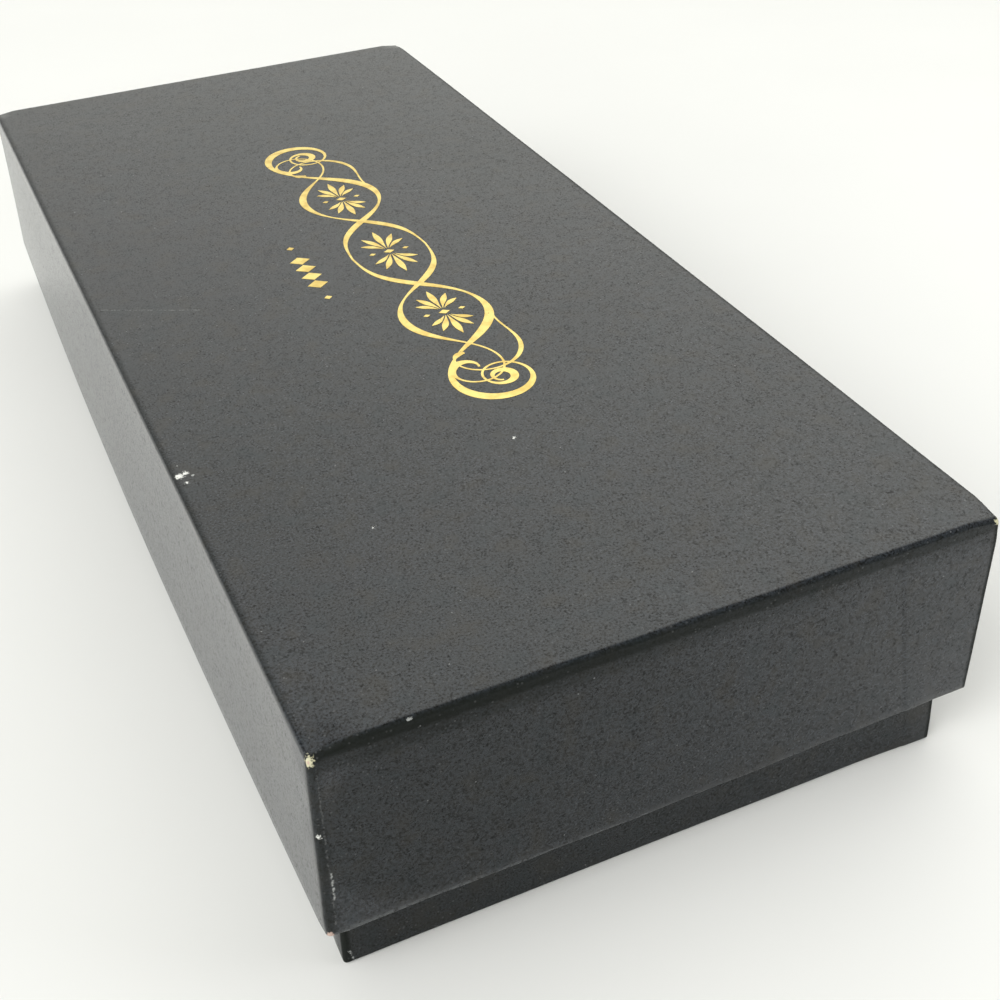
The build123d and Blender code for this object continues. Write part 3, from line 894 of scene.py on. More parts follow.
@dataclass(frozen=True)
class Settling:
    """How a tray of board and paper has given way, the same for each of its layers."""

    outline: Outline
    rim: float
    top: float
    left_bow: float = 0.0
    left_flare: float = 0.0
    right_bow: float = 0.0
    top_bow: float = 0.0
    end_bow: float = 0.0
    left_droop: float = 0.0
    droop_reach: float = 20.0
    tilt: float = 0.0
    rim_rise: float = 0.0
    edge_wave: float = 0.0
    wave_reach: float = 5.0
    wall_reach: float = 6.0
    fold_height: float = 1.5
    unevenness: float = 0.03
    crushes: tuple[Crush, ...] = ()

    def __call__(self, points: Array) -> Array:
        """Moves points: the long walls bow out towards the rim, and the front left of the top droops.

        A wall's bow is its depth times a sine along the wall to the power 0.9, and a flare is the same all
        along. Both grow with the share of the way from the fold to the rim, to the power 1.3, and fade away
        within the wall's reach. The droop is its depth times the fourth power of the share of the half width,
        and fades away from the front. The right side stands higher by the tilt, and its rim by the rise as
        well, and its top bows out by the top bow. The front edge waves a little, and slow sines make every
        face a little uneven.
        """
        x, y, z = np.moveaxis(points, -1, 0)
        box = self.outline
        centre_x, centre_y = (box.x0 + box.x1) / 2, (box.y0 + box.y1) / 2
        share_x = np.clip((x - box.x0) / (box.x1 - box.x0), 0, 1)
        share_y = np.clip((y - box.y0) / (box.y1 - box.y0), 0, 1)
        fold_z = self.top - self.fold_height
        down = np.clip((fold_z - z) / (fold_z - self.rim), 0, 1) ** 1.3
        long_bow = np.sin(np.pi * share_y) ** 0.9
        short_bow = np.sin(np.pi * share_x) ** 0.9 * down
        near_left = 1 - eased((x - box.x0) / self.wall_reach)
        near_right = 1 - eased((box.x1 - x) / self.wall_reach)
        left = -(self.left_flare + self.left_bow * long_bow) * near_left
        right = self.right_bow * long_bow * near_right
        top_right = self.top_bow * long_bow * near_right * (1 - down)
        out_y = np.where(y < centre_y, -self.end_bow, self.end_bow) * short_bow
        from_front = y - box.y0
        left_share = np.clip((centre_x - x) / (box.x1 - centre_x), 0, 1)
        droop = self.left_droop * left_share**4 * np.exp(-from_front / self.droop_reach)
        ripple = np.sin(x / 3.7 + 0.6) + 0.6 * np.sin(x / 1.55 + 2.0)
        lift = self.tilt * share_x + self.rim_rise * share_x**2 * down**3 - droop
        lift = lift + self.edge_wave * ripple * np.exp(-from_front / self.wave_reach)
        wave_x = self.unevenness * np.sin(y / 13 + 0.7) * np.cos(z / 8)
        wave_y = self.unevenness * np.sin(x / 9 + 1.9) * np.cos(z / 7 + 1)
        wave_z = self.unevenness * np.sin(x / 17 + 0.4) * np.sin(y / 23 + 1.1)
        out_x = (left + right) * down + top_right + wave_x
        moved = points + np.stack([out_x, out_y + wave_y, lift + wave_z], axis=-1)
        for crush in self.crushes:
            moved = crush(moved)
        return moved


@dataclass(frozen=True)
class FlapRidge:
    """The edge of a paper flap under the covering on the front wall: a small step in the surface."""

    top_x: float
    foot_x: float
    top: float
    foot: float
    step: float
    front: float

    def __call__(self, points: Array) -> Array:
        """Moves the front wall out by the step on the corner's side of a line that leans with height."""
        x, y, z = np.moveaxis(points, -1, 0)
        line = self.foot_x + (self.top_x - self.foot_x) * (z - self.foot) / (self.top - self.foot)
        on_front = eased((self.front + 0.6 - y) / 0.3)
        raised = eased((x - line) / 0.7 + 0.5) * on_front * eased((self.top + 1.5 - z) / 3)
        return points - np.stack([0 * x, self.step * raised, 0 * x], axis=-1)


@dataclass(frozen=True)
class Lid:
    """The lid: covering paper over a board tray, gummed corners and a lining."""

    paper: float = 0.15
    stay: float = 0.1
    board: float = 1.0
    corner: float = 0.95
    corners: tuple[float, float, float, float] = (0.45, 0.55, 0.55, 0.8)
    edge: float = 1.1
    edges: tuple[float, float, float, float] = (1.1, 0.5, 0.6, 0.5)
    stand_off: float = 0.12
    rim_fold: float = 0.3
    turn_in: float = 15.0
    lining_step: float = 3.0
    stay_leg: float = 18.0
    ridge_columns: tuple[float, float, int] = (0.82, 0.9, 26)
    flat_insets: tuple[float, ...] = (9.0, 7.4, 6.0, 4.7, 3.5, 2.5, 1.6)
    fold_steps: int = 8
    wall_steps: int = 26
    rim_steps: int = 3
    board_steps: int = 12

    def outline(self, grow: float = 0.0) -> Outline:
        """The lid's outline, sampled closely where the flap's edge shows."""
        across, along = fractions(56, self.ridge_columns), fractions(84)
        return Outline.of("lid_wrap", grow, across=across, along=along)

    @property
    def rim(self) -> float:
        """The height of the lid's rim."""
        return levels("lid_wrap")[0]

    @property
    def top(self) -> float:
        """The height of the lid's top."""
        return levels("lid_wrap")[1]

    @property
    def wall(self) -> float:
        """The thickness of a wall with its covering, turn-in and lining."""
        return 3 * self.paper + self.stay + self.board

    def flat(self, height: float) -> Array:
        """Rows of the level rings between the middle of the top and its folds, the same for every layer."""
        return np.stack([self.flat_insets, np.full(len(self.flat_insets), height)], axis=1)

    def settling(self) -> Settling:
        """How this lid has bowed, drooped and been knocked."""
        outline = Outline.of("lid_wrap")
        knocks = (
            Crush((outline.x0, outline.y0, self.top), 8.5, (0.25, 0.2, -0.95)),
            Crush((outline.x1, outline.y0, self.top), 6.0, (-0.1, 0.15, -0.6)),
            Crush((outline.x0, outline.y1, self.top), 5.0, (0.25, -0.25, -0.4)),
            Crush((outline.x1, outline.y1, self.top), 5.0, (-0.3, -0.2, -0.4)),
            Crush((outline.x0, outline.y0, self.rim), 3.0, (0.2, 0.15, 0.15)),
        )
        return Settling(
            outline,
            self.rim,
            self.top,
            left_bow=1.8,
            left_flare=0.75,
            right_bow=1.0,
            top_bow=0.25,
            end_bow=0.25,
            left_droop=0.5,
            tilt=0.15,
            rim_rise=0.9,
            edge_wave=0.07,
            crushes=knocks,
        )

    def settled(self, surface: Surface, name: str, thickness: float = 0.0) -> Piece:
        """Makes a layer that has given way as the lid has, and thickens it where it is a sheet."""
        piece = surface.moved(self.settling()).build(name)
        if thickness:
            thicken(piece, thickness)
        return piece

    def covering(self) -> Piece:
        """One sheet: top, fold, wall, rim and the strip turned in, as rings down and round the outline.

        Each side has its own fold, as wide as its edge, and the corners' radii grow from none on the flat
        top to all of them below the fold.
        """
        outline, edge, rim_fold = self.outline(self.stand_off), self.edge, self.rim_fold
        flat = self.flat(self.top)
        shoulder = fold(edge, self.top - edge, edge, 0, 90, self.fold_steps)
        head, foot = self.top - edge - 0.4, self.rim + rim_fold + 0.3
        wall = straight((0, head), (0, foot), self.wall_steps)
        outer = fold(rim_fold, self.rim + rim_fold, rim_fold, 90, 180, self.rim_steps)
        mouth = self.wall - self.paper + self.stand_off
        inner = fold(mouth - rim_fold, self.rim + rim_fold, rim_fold, 180, 270, self.rim_steps)
        up = straight((mouth, self.rim + rim_fold), (mouth, self.rim + self.turn_in), 8)
        rows = np.concatenate([flat, shoulder, [[0, head]], wall, outer, inner, up])
        insets = np.repeat(rows[:, :1], 4, axis=1)
        folded = slice(len(flat), len(flat) + len(shoulder))
        insets[folded] *= np.array(self.edges) / edge
        radii = np.array(self.corners) * np.clip(1 - rows[:, :1] / edge, 0, 1)
        below = slice(folded.stop, None)
        radii[below] = np.maximum(np.array(self.corners) - rows[below, :1], 0.2)
        surface = Surface()
        surface.grid(outline.sheet(rows[0, 0], self.top), flip=True)
        surface.grid(outline.rings(insets, radii, rows[:, 1]), wrap=True)
        ridge = FlapRidge(
            top_x=37.4, foot_x=42.3, top=self.top - 3, foot=self.rim + 4, step=0.12, front=outline.y0
        )
        return self.settled(surface.moved(ridge), "lid_covering", self.paper)

    def tray(self) -> Piece:
        """The grey board: a closed tray whose underside and inner walls are flat."""
        outline, edge, depth = self.outline(), self.edge - self.paper, self.paper + self.stay
        top, rim = self.top - self.paper, self.rim + self.paper
        shoulder = fold(depth + edge, top - edge, edge, 0, 90, 5)
        wall = straight(shoulder[-1], (depth, rim), self.board_steps)
        mouth = depth + self.board
        ledge = np.array([[depth, rim], [mouth, rim]])
        up = straight((mouth, rim), (mouth, top - self.board), self.board_steps)
        under = np.array([[mouth, top - self.board], [mouth + 2, top - self.board]])
        flat = self.flat(top)
        rows = np.concatenate([flat, shoulder, wall, ledge, up, under])
        radii = np.full(len(rows), self.corner - depth)
        radii[: len(flat) + 1] = 0.0
        radii[len(flat) + len(shoulder) + len(wall) + 1 :] *= 0.3
        radii[-1] = 0.0
        surface = Surface()
        surface.grid(outline.sheet(rows[0, 0], top), flip=True)
        surface.grid(outline.rings(rows[:, 0], radii, rows[:, 1]), wrap=True)
        surface.grid(outline.sheet(rows[-1, 0], top - self.board))
        return self.settled(surface, "lid_tray")

    def lining(self) -> Piece:
        """Paper inside the tray: up the walls and across the underside."""
        outline, depth = Outline.of("lid_wrap"), self.wall
        low, high = self.rim + self.lining_step, self.top - 2 * self.paper - self.board
        up = np.concatenate([[[depth, low]], straight((depth, low), (depth, high - 0.4), self.board_steps)])
        bend = [[depth, high - 0.4], [depth + 0.12, high - 0.12], [depth + 0.4, high], [depth + 2, high]]
        rows = np.concatenate([up, bend])
        radii = np.full(len(rows), 0.3)
        radii[-1] = 0.0
        surface = Surface()
        surface.grid(outline.rings(rows[:, 0], radii, rows[:, 1]), wrap=True)
        surface.grid(outline.sheet(rows[-1, 0], high))
        return self.settled(surface, "lid_inner_paper", self.paper)

    def stays(self) -> Piece:
        """Gummed tape round the tray's four corners."""
        legs = fractions(120)
        outline = Outline.of("lid_wrap", across=legs, along=legs)
        low, high = levels("lid_corner_stays")
        heights = np.linspace(high, low, 10)
        level = np.ones_like(heights)
        rings = outline.rings(self.paper * level, (self.corner - self.paper) * level, heights)
        reach_x = np.minimum(rings[0, :, 0] - outline.x0, outline.x1 - rings[0, :, 0])
        reach_y = np.minimum(rings[0, :, 1] - outline.y0, outline.y1 - rings[0, :, 1])
        surface = Surface()
        surface.grid(rings, wrap=True, keep=np.maximum(reach_x, reach_y) < self.stay_leg)
        return self.settled(surface, "lid_corner_tapes", self.stay)

    def build(self, covering: Finish, board: Finish, tape: Finish, lining: Finish) -> None:
        """Makes and fits the lid's four pieces."""
        fit(self.covering(), covering, "black_paper", "lid", "lid_wrap")
        fit(self.tray(), board, "grey_board", "lid", "lid_board")
        fit(self.stays(), tape, "gummed_tape", "lid", "lid_corner_stays")
        fit(self.lining(), lining, "lining_paper", "lid", "lid_lining")


@dataclass(frozen=True)
class Base:
    """The base: covering paper round a board tray, with a lining and a paste-down under it."""

    paper: float = 0.15
    corners: tuple[float, float, float, float] = (0.45, 0.7, 0.7, 0.6)
    edge: float = 0.3
    rim_fold: float = 0.3
    wall: float = 1.55
    turn_in: float = 15.0
    turn_under: float = 14.0
    ridge_columns: tuple[float, float, int] = (0.93, 0.97, 14)

    def covering(self) -> Piece:
        """One sheet: the strip turned in, rim, wall, bottom fold and the strip turned under."""
        outline = Outline.of("base_side_wrap", across=fractions(56, self.ridge_columns), along=fractions(84))
        low, high = levels("base_side_wrap")
        edge, rim_fold, mouth = self.edge, self.rim_fold, self.wall - self.paper
        up = straight((mouth, high - self.turn_in - 1), (mouth, high - rim_fold), 8)
        inner = fold(mouth - rim_fold, high - rim_fold, rim_fold, -90, 0, 3)
        outer = fold(rim_fold, high - rim_fold, rim_fold, 0, 90, 3)
        wall = straight((0, high - rim_fold), (0, low + edge), 30)
        foot = fold(edge, low + edge, edge, 90, 180, 6)
        under = straight((edge, low), (self.turn_under, low), 4)
        rows = np.concatenate([up, inner, outer, wall, foot, under, [[self.turn_under, low]]])
        radii = np.maximum(np.array(self.corners) - rows[:, :1], 0.2)
        surface = Surface()
        surface.grid(outline.rings(rows[:, 0], radii, rows[:, 1]), wrap=True)
        ridge = FlapRidge(top_x=44.6, foot_x=45.0, top=high - 3, foot=low + 1, step=0.1, front=outline.y0)
        feet = (
            Crush((outline.x0, outline.y0, low), 16.0, (-0.35, -0.1, 0.0)),
            Crush((outline.x1, outline.y0, low), 16.0, (0.5, -0.4, 0.0)),
            Crush((outline.x1 - 20, outline.y0, low - 8), 55.0, (0.0, -0.2, 0.0)),
        )
        settling = Settling(outline, low, high, crushes=feet)
        piece = surface.moved(ridge).moved(settling).build("base_covering")
        thicken(piece, self.paper)
        return piece

    def build(self, covering: Finish, board: Finish, tape: Finish, lining: Finish) -> None:
        """Makes and fits the covering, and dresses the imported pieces."""
        fit(self.covering(), covering, "black_paper", "base", "base_side_wrap")
        packed = {"bottom_sheet": lining, "board": board, "corner_stays": tape, "lining": lining}
        for name, finish in packed.items():
            dress(f"base_{name}", finish)


# ---- The insert ---------------------------------------------------------------------------------
@dataclass(frozen=True)
class Cut:
    """A rectangle with rounded corners. It is a disc where the corner is half of both sides."""

    x: float
    y: float
    width: float
    length: float
    corner: float

    @classmethod
    def disc(cls, x: float, y: float, radius: float) -> "Cut":
        """A round cut."""
        return cls(x, y, 2 * radius, 2 * radius, radius)

    def distance(self, points: Array) -> Array:
        """How far each point is outside the edge, and less than nothing inside it."""
        half = np.array([self.width, self.length]) / 2 - self.corner
        past = np.abs(points - np.array([self.x, self.y])) - half
        outside = np.linalg.norm(np.maximum(past, 0), axis=-1)
        return outside + np.minimum(past.max(axis=-1), 0) - self.corner


@dataclass(frozen=True)
class Opening:
    """A shape made of overlapping cuts, all of whose edge can be seen from its eye."""

    eye: tuple[float, float]
    cuts: tuple[Cut, ...]
    reach: float = 160.0
    spacing: float = 0.8
    halvings: int = 40
    samples: int = 40001
    fewest_points: int = 24

    def distance(self, points: Array) -> Array:
        """How far each point is outside the nearest cut."""
        return np.min([cut.distance(points) for cut in self.cuts], axis=0)

    def edge(self, headings: Array, grow: float) -> Array:
        """The points of the edge, moved out by grow, that lie in these headings from the eye.

        Each point is found by halving the stretch between the eye and the reach again and again.
        """
        ray = np.stack([np.cos(headings), np.sin(headings)], axis=-1)
        near, far = np.zeros_like(headings), np.full_like(headings, self.reach)
        for _ in range(self.halvings):
            middle = (near + far) / 2
            inside = self.distance(np.array(self.eye) + ray * middle[:, None]) < grow
            near, far = np.where(inside, middle, near), np.where(inside, far, middle)
        return np.array(self.eye) + ray * near[:, None]

    def headings(self) -> Array:
        """The headings from the eye of points evenly spaced along the edge, counterclockwise."""
        turn = np.linspace(0, 2 * np.pi, self.samples)
        steps = np.linalg.norm(np.diff(self.edge(turn, 0.0), axis=0), axis=1)
        walked = np.concatenate([[0], np.cumsum(steps)])
        count = max(self.fewest_points, int(walked[-1] / self.spacing))
        return np.interp(np.arange(count) * walked[-1] / count, walked, turn)

    def wall(self, setbacks: Array, heights: Array, outwards: bool) -> Array:
        """Rings of the edge at each height, grown by a setback, or shrunk where it faces outwards."""
        headings = self.headings()
        sign = -1 if outwards else 1
        edges = [self.edge(headings, sign * setback) for setback in setbacks]
        level = np.zeros((len(heights), len(headings), 1)) + heights[:, None, None]
        return np.concatenate([np.stack(edges), level], axis=-1)


@dataclass(frozen=True)
class Layer:
    """A die-cut sheet of the insert, with its edges rolled over a little."""

    node: str
    openings: tuple[Opening, ...]
    corner: float = 1.0
    roll: float = 0.35
    roll_steps: int = 4
    mesh_step: float = 6.0

    def border(self) -> Opening:
        """The sheet's own outline."""
        low, high = (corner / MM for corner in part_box(self.node))
        x, y = (low.x + high.x) / 2, (low.y + high.y) / 2
        return Opening((x, y), (Cut(x, y, high.x - low.x, high.y - low.y, self.corner),), spacing=2.0)

    def face(self, loops: Sequence[Array], height: float, border: Opening) -> tuple[Array, Array]:
        """The flat face between the loops: a Delaunay triangulation held to them and to an even grid.

        Args:
            loops: closed loops of points, the border's first.
            height: the face's height.
            border: the sheet's outline.

        Returns:
            Its points and its triangles, which face up.
        """
        low, high, step = loops[0].min(axis=0), loops[0].max(axis=0), self.mesh_step
        grid = np.stack(np.meshgrid(np.arange(low[0], high[0], step), np.arange(low[1], high[1], step)), -1)
        grid = grid.reshape(-1, 2)
        clear = border.distance(grid) < -step / 2
        for opening in self.openings:
            clear &= opening.distance(grid) > step / 2
        points = np.concatenate([*loops, grid[clear]])
        starts = np.cumsum([0, *(len(loop) for loop in loops)])
        edges = [
            (int(start + k), int(start + (k + 1) % (end - start)))
            for start, end in zip(starts[:-1], starts[1:])
            for k in range(end - start)
        ]
        flat = delaunay_2d_cdt([Vector(point) for point in points], edges, [], 0, 1e-6)
        corners, triangles = np.array([tuple(v) for v in flat[0]]), np.array(flat[2])
        middle = corners[triangles].mean(axis=1)
        shown = enclosed(middle, loops[0])
        for loop in loops[1:]:
            shown &= ~enclosed(middle, loop)
        lifted = np.concatenate([corners, np.full((len(corners), 1), height)], axis=1)
        return lifted, triangles[shown]

    def build(self, name: str) -> Piece:
        """Makes the sheet: its two faces, and each edge as a wall with rounded rims."""
        low, high = levels(self.node)
        over = fold(self.roll, high - self.roll, self.roll, 0, 90, self.roll_steps)
        below = fold(self.roll, low + self.roll, self.roll, 90, 180, self.roll_steps)
        meeting = high - low <= 2 * self.roll + 0.01
        rows = np.concatenate([over, below[1:] if meeting else below])
        border, surface = self.border(), Surface()
        walls = [border.wall(rows[:, 0], rows[:, 1], True)]
        walls += [opening.wall(rows[:, 0], rows[:, 1], False) for opening in self.openings]
        for number, wall in enumerate(walls):
            surface.grid(wall, wrap=True, flip=number > 0)
        surface.add(*self.face([wall[0, :, :2] for wall in walls], high, border))
        points, triangles = self.face([wall[-1, :, :2] for wall in walls], low, border)
        surface.add(points, triangles[:, ::-1])
        return surface.build(name)


@dataclass(frozen=True)
class Insert:
    """The insert: an uncut pad, a deep layer, a shallow layer and a flocked sheet."""

    bottle: Opening = Opening(
        (14.0, 70.0),
        (Cut(14.0, 57.0, 32.0, 78.0, 3.0), Cut.disc(-2.0, 70.0, 11.0), Cut.disc(30.0, 70.0, 11.0)),
    )
    pen: Opening = Opening((-33.0, -8.0), (Cut(-33.0, -3.5, 12.0, 201.0, 5.5), Cut.disc(-33.0, -8.0, 13.0)))
    tray: Opening = Opening((14.0, -29.0), (Cut(14.0, -29.0, 62.6, 46.6, 2.0),))
    rest: Opening = Opening(
        (14.0, -84.0),
        (Cut(14.0, -84.0, 44.0, 14.0, 2.0), Cut.disc(14.0, -77.0, 8.0), Cut.disc(14.0, -91.0, 8.0)),
    )

    def build(self, foam: Finish, flock: Finish) -> None:
        every = (self.pen, self.tray, self.rest, self.bottle)
        foams = {
            "insert_pad_foam": Layer("insert_floor_pad", ()),
            "insert_deep_foam": Layer("insert_lower_foam", (self.bottle,), roll=0.5),
            "insert_shallow_foam": Layer("insert_upper_foam", every),
        }
        for name, layer in foams.items():
            fit(layer.build(name), foam, "foam", "base", layer.node)
        cloth = Layer("insert_flock_sheet", every, roll=0.28).build("insert_flocked_cloth")
        fit(cloth, flock, "flock", "base", "insert_flock_sheet")


# ---- The gold ornament --------------------------------------------------------------------------
@dataclass(frozen=True)
class Stroke:
    """One stroke of the pen, as a line on the lid with its width at each point, in millimetres."""

    line: Array
    width: Array

    def turned_over(self) -> "Stroke":
        """The same stroke mirrored to the ornament's other half."""
        return Stroke(self.line * [-1, 1], self.width)

    def moved(self, x: float, y: float = 0.0) -> "Stroke":
        """The same stroke elsewhere."""
        return Stroke(self.line + [x, y], self.width)


def pen_line(start: tuple[float, float], heading: Array, step: float) -> Array:
    """The line that goes on from start in each heading, in radians, by equal steps."""
    between = (heading[1:] + heading[:-1]) / 2
    steps = np.stack([np.cos(between), np.sin(between)], axis=1) * step
    return np.concatenate([[start], np.asarray(start) + np.cumsum(steps, axis=0)])


def scroll(
    start: tuple[float, float],
    heading: float,
    bends: Sequence[tuple[float, float]],
    hair: float,
    thick: float,
    swells: Sequence[tuple[float, float, float]],
) -> Stroke:
    """A scroll whose bend changes evenly between given places, so that it winds as a pen does.

    The heading is the first one plus the sum of the bend along the line. The width is a hair's, and rises as
    a squared sine to a share of the thick width at each swell.

    Args:
        start: the first point.
        heading: the first heading in degrees.
        bends: pairs of a distance along the line and the bend there, in turns of a radian per millimetre.
        hair: the thinnest width.
        thick: the thickest width.
        swells: for each swell, its middle and half length as shares of the line, and its strength.

    Returns:
        The stroke.
    """
    step = 0.3
    places, bend = np.array(bends).T
    walked = np.arange(0, places[-1] + step / 2, step)
    turning = np.interp(walked, places, bend)
    turned = np.concatenate([[0], np.cumsum((turning[1:] + turning[:-1]) / 2 * step)])
    share = np.linspace(0, 1, len(walked))
    width = np.full(len(walked), hair)
    for middle, half, strength in swells:
        rise = np.sin(np.clip(1 - np.abs(share - middle) / half, 0, 1) * np.pi / 2) ** 2
        width = np.maximum(width, hair + (thick * strength - hair) * rise)
    return Stroke(pen_line(start, math.radians(heading) + turned, step), width)


def leaf(root: tuple[float, float], heading: float, length: float, bend: float, width: float) -> Stroke:
    """A leaf: a short stroke that swells like a drop and bends by that many degrees."""
    points = 22
    share = np.linspace(0, 1, points)
    headings = np.radians(heading + bend * (share - 0.5))
    drop = 0.12 + width * np.sin(np.pi * share**1.35) ** 1.2
    return Stroke(pen_line(root, headings, length / (points - 1)), drop)


def lozenge(x: float, y: float, half_length: float, half_width: float) -> Stroke:
    """A lozenge that is longest along the line."""
    share = np.linspace(-1, 1, 9)
    line = np.stack([x + share * half_length, np.full_like(share, y)], axis=1)
    return Stroke(line, 2 * half_width * (1 - np.abs(share)) + 0.02)


@dataclass(frozen=True)
class FoilOrnament:
    """A mirrored scroll with leaves, stamped in gold on the lid, and a short row of lozenges beside it."""

    centre: tuple[float, float] = (5.6, 2.5)
    row_centre: tuple[float, float] = (-12.2, 1.2)
    size: float = 1.27
    lift: float = 0.012
    thickness: float = 0.03
    step_up: float = 0.0004
    cell: float = 29.3

    def scrolls(self) -> list[Stroke]:
        """The two interlaced scrolls and the hairline over them, for one half."""
        k = self.size
        lower = [(0, 0), (7, 0.10), (14, 0.02), (22, -0.09), (30, -0.12), (38, -0.03), (46, 0.08)]
        lower += [(54, 0.16), (66, 0.20), (80, 0.36), (93, 0.8)]
        upper = [(0, 0), (7, -0.10), (14, -0.02), (22, 0.09), (30, 0.12), (36, 0.03), (42, -0.1)]
        upper += [(50, -0.22), (60, -0.34), (66, -0.7)]
        over = [(0, 0.10), (6, 0.02), (12, -0.10), (22, -0.13), (30, -0.19), (37, -0.5)]
        scaled = [[(place * k, bend / k) for place, bend in bends] for bends in (lower, upper)]
        lower_swells = [(0.14, 0.13, 0.8), (0.36, 0.14, 1.0), (0.63, 0.16, 1.0), (0.93, 0.07, 0.8)]
        upper_swells = [(0.17, 0.15, 0.9), (0.45, 0.16, 1.0), (0.93, 0.07, 1.0)]
        over_swells = [(0.42, 0.25, 1.0), (0.96, 0.06, 1.4)]
        return [
            scroll((0, -6.3 * k), 4, scaled[0], hair=0.45, thick=1.9, swells=lower_swells),
            scroll((0, 6.3 * k), -4, scaled[1], hair=0.42, thick=1.6, swells=upper_swells),
            scroll((33.2, 7.9), -14, over, hair=0.4, thick=0.9, swells=over_swells),
        ]

    @staticmethod
    def spray(length: float) -> list[Stroke]:
        """Five leaves that fan out along the ornament, the middle one longest and widest, for one half."""
        leaves = []
        for number in range(-2, 3):
            short = 1 - 0.21 * abs(number)
            wide = 1.25 - 0.12 * abs(number)
            leaves.append(leaf((1.5, 0.35 * number), 27 * number, length * short, 16 * number, wide))
        return leaves

    def strokes(self) -> list[Stroke]:
        """Every stroke of the ornament, along its own length and width."""
        half = self.scrolls()
        every = half + [stroke.turned_over() for stroke in half]
        for place, length in ((0.0, 8.4), (-self.cell, 7.6), (self.cell, 7.6)):
            leaves = self.spray(length)
            every += [stroke.moved(place) for stroke in leaves]
            every += [stroke.turned_over().moved(place) for stroke in leaves]
            every += [lozenge(place, 0, 0.8, 1.15)]
            every += [lozenge(place, side, 0.5, 0.7) for side in (-3.6, 3.6)]
        return every

    @staticmethod
    def row() -> list[Stroke]:
        """Four lozenges between two dots, along a line."""
        lozenges = [lozenge(place, 0, 1.7, 2.1) for place in (-5.7, -1.9, 1.9, 5.7)]
        return lozenges + [lozenge(place, 0, 0.75, 0.8) for place in (-12.0, 12.0)]

    def add(self, surface: Surface, stroke: Stroke, centre: tuple[float, float], height: float) -> None:
        """Adds a stroke as a closed flat bar: an edge half a width each side of the line, at two levels."""
        ahead = np.gradient(stroke.line, axis=0)
        ahead /= np.linalg.norm(ahead, axis=1, keepdims=True)
        side = np.stack([-ahead[:, 1], ahead[:, 0]], axis=1) * stroke.width[:, None] / 2
        left, right = stroke.line + side, stroke.line - side
        ring = np.stack([left, right, right, left], axis=1)
        on_lid = np.stack([centre[0] + ring[..., 1], centre[1] - ring[..., 0]], axis=-1)
        levels = np.array([self.thickness, self.thickness, 0.0, 0.0]) + height
        points = np.concatenate([on_lid, np.zeros((len(on_lid), 4, 1)) + levels[:, None]], axis=-1)
        surface.grid(points, wrap=True, flip=True)
        last = 4 * (len(points) - 1)
        surface.add(points, np.array([[3, 2, 1, 0], [last, last + 1, last + 2, last + 3]]))

    def build(self, finish: Finish, settling: Settling, top: float) -> None:
        """Makes and fits the ornament, laid on the settled top. Each stroke lies a step above the last."""
        surface = Surface()
        for centre, strokes in ((self.centre, self.strokes()), (self.row_centre, self.row())):
            for number, stroke in enumerate(strokes):
                self.add(surface, stroke, centre, top + self.lift + self.step_up * number)
        fit(surface.moved(settling).build("gold_foil_ornament", 30.0), finish, "black_paper", "lid")


# ---- The tools ----------------------------------------------------------------------------------
@dataclass(frozen=True)
class Tools:
    """The writing tools that lie in the insert."""

    spare_nibs: int = 5

    def build(self) -> None:
        """Dresses the pen, the nibs and their tray, the rest, and the ink bottle."""
        walnut = Wood("walnut", (0.20, 0.085, 0.035), (0.055, 0.022, 0.010), coat=0.6, roughness=0.4)
        beech = Wood("beech_planed", (0.60, 0.40, 0.23), (0.45, 0.28, 0.15), ring=3.2, roughness=0.55)
        brass = Metal("brass_polished", (0.86, 0.64, 0.27), (0.72, 0.50, 0.20), polish=0.16)
        steel = Metal("nib_steel", (0.66, 0.66, 0.65), (0.52, 0.53, 0.55), polish=0.2)
        finishes = {
            "pen_handle": walnut,
            "pen_ferrule": brass,
            "pen_clip": steel,
            "fitted_nib": steel,
            "pen_rest": brass,
            "nib_tray": beech,
            "ink_bottle_glass": Clear("bottle_glass", (0.95, 0.98, 0.97), clearness=1.0),
            "ink_fill": Clear("black_ink", (0.003, 0.003, 0.006), clearness=0.0, ripple=0.0, ior=1.34),
            "ink_cap": Moulded("cap_plastic", (0.013, 0.013, 0.014), (0.03, 0.03, 0.032)),
            "ink_cap_liner": Moulded("liner_foam", (0.80, 0.80, 0.77), (0.70, 0.70, 0.67), roughness=0.7),
        }
        finishes.update({f"spare_nib_{number}": steel for number in range(1, self.spare_nibs + 1)})
        for node, finish in finishes.items():
            dress(node, finish)


# ---- The studio ---------------------------------------------------------------------------------
@dataclass(frozen=True)
class AreaLamp:
    """A rectangular lamp aimed at the case, in millimetres, with its brightness as that of a white wall.

    It lights without showing in gloss, as a lamp behind a wide diffuser hardly does.
    """

    name: str
    place: Point
    size: tuple[float, float]
    brightness: float

    def build(self) -> None:
        """Makes the lamp. Its power is its brightness times its area times pi."""
        data = bpy.data.lights.new(self.name, "AREA")
        data.shape = "RECTANGLE"
        data.size, data.size_y = (side * MM for side in self.size)
        data.energy = self.brightness * data.size * data.size_y * math.pi
        lamp = placed(self.name, data)
        lamp.visible_glossy = False
        lamp.location = Vector(self.place) * MM
        lamp.rotation_mode = "QUATERNION"
        lamp.rotation_quaternion = (-lamp.location).to_track_quat("-Z", "Y")


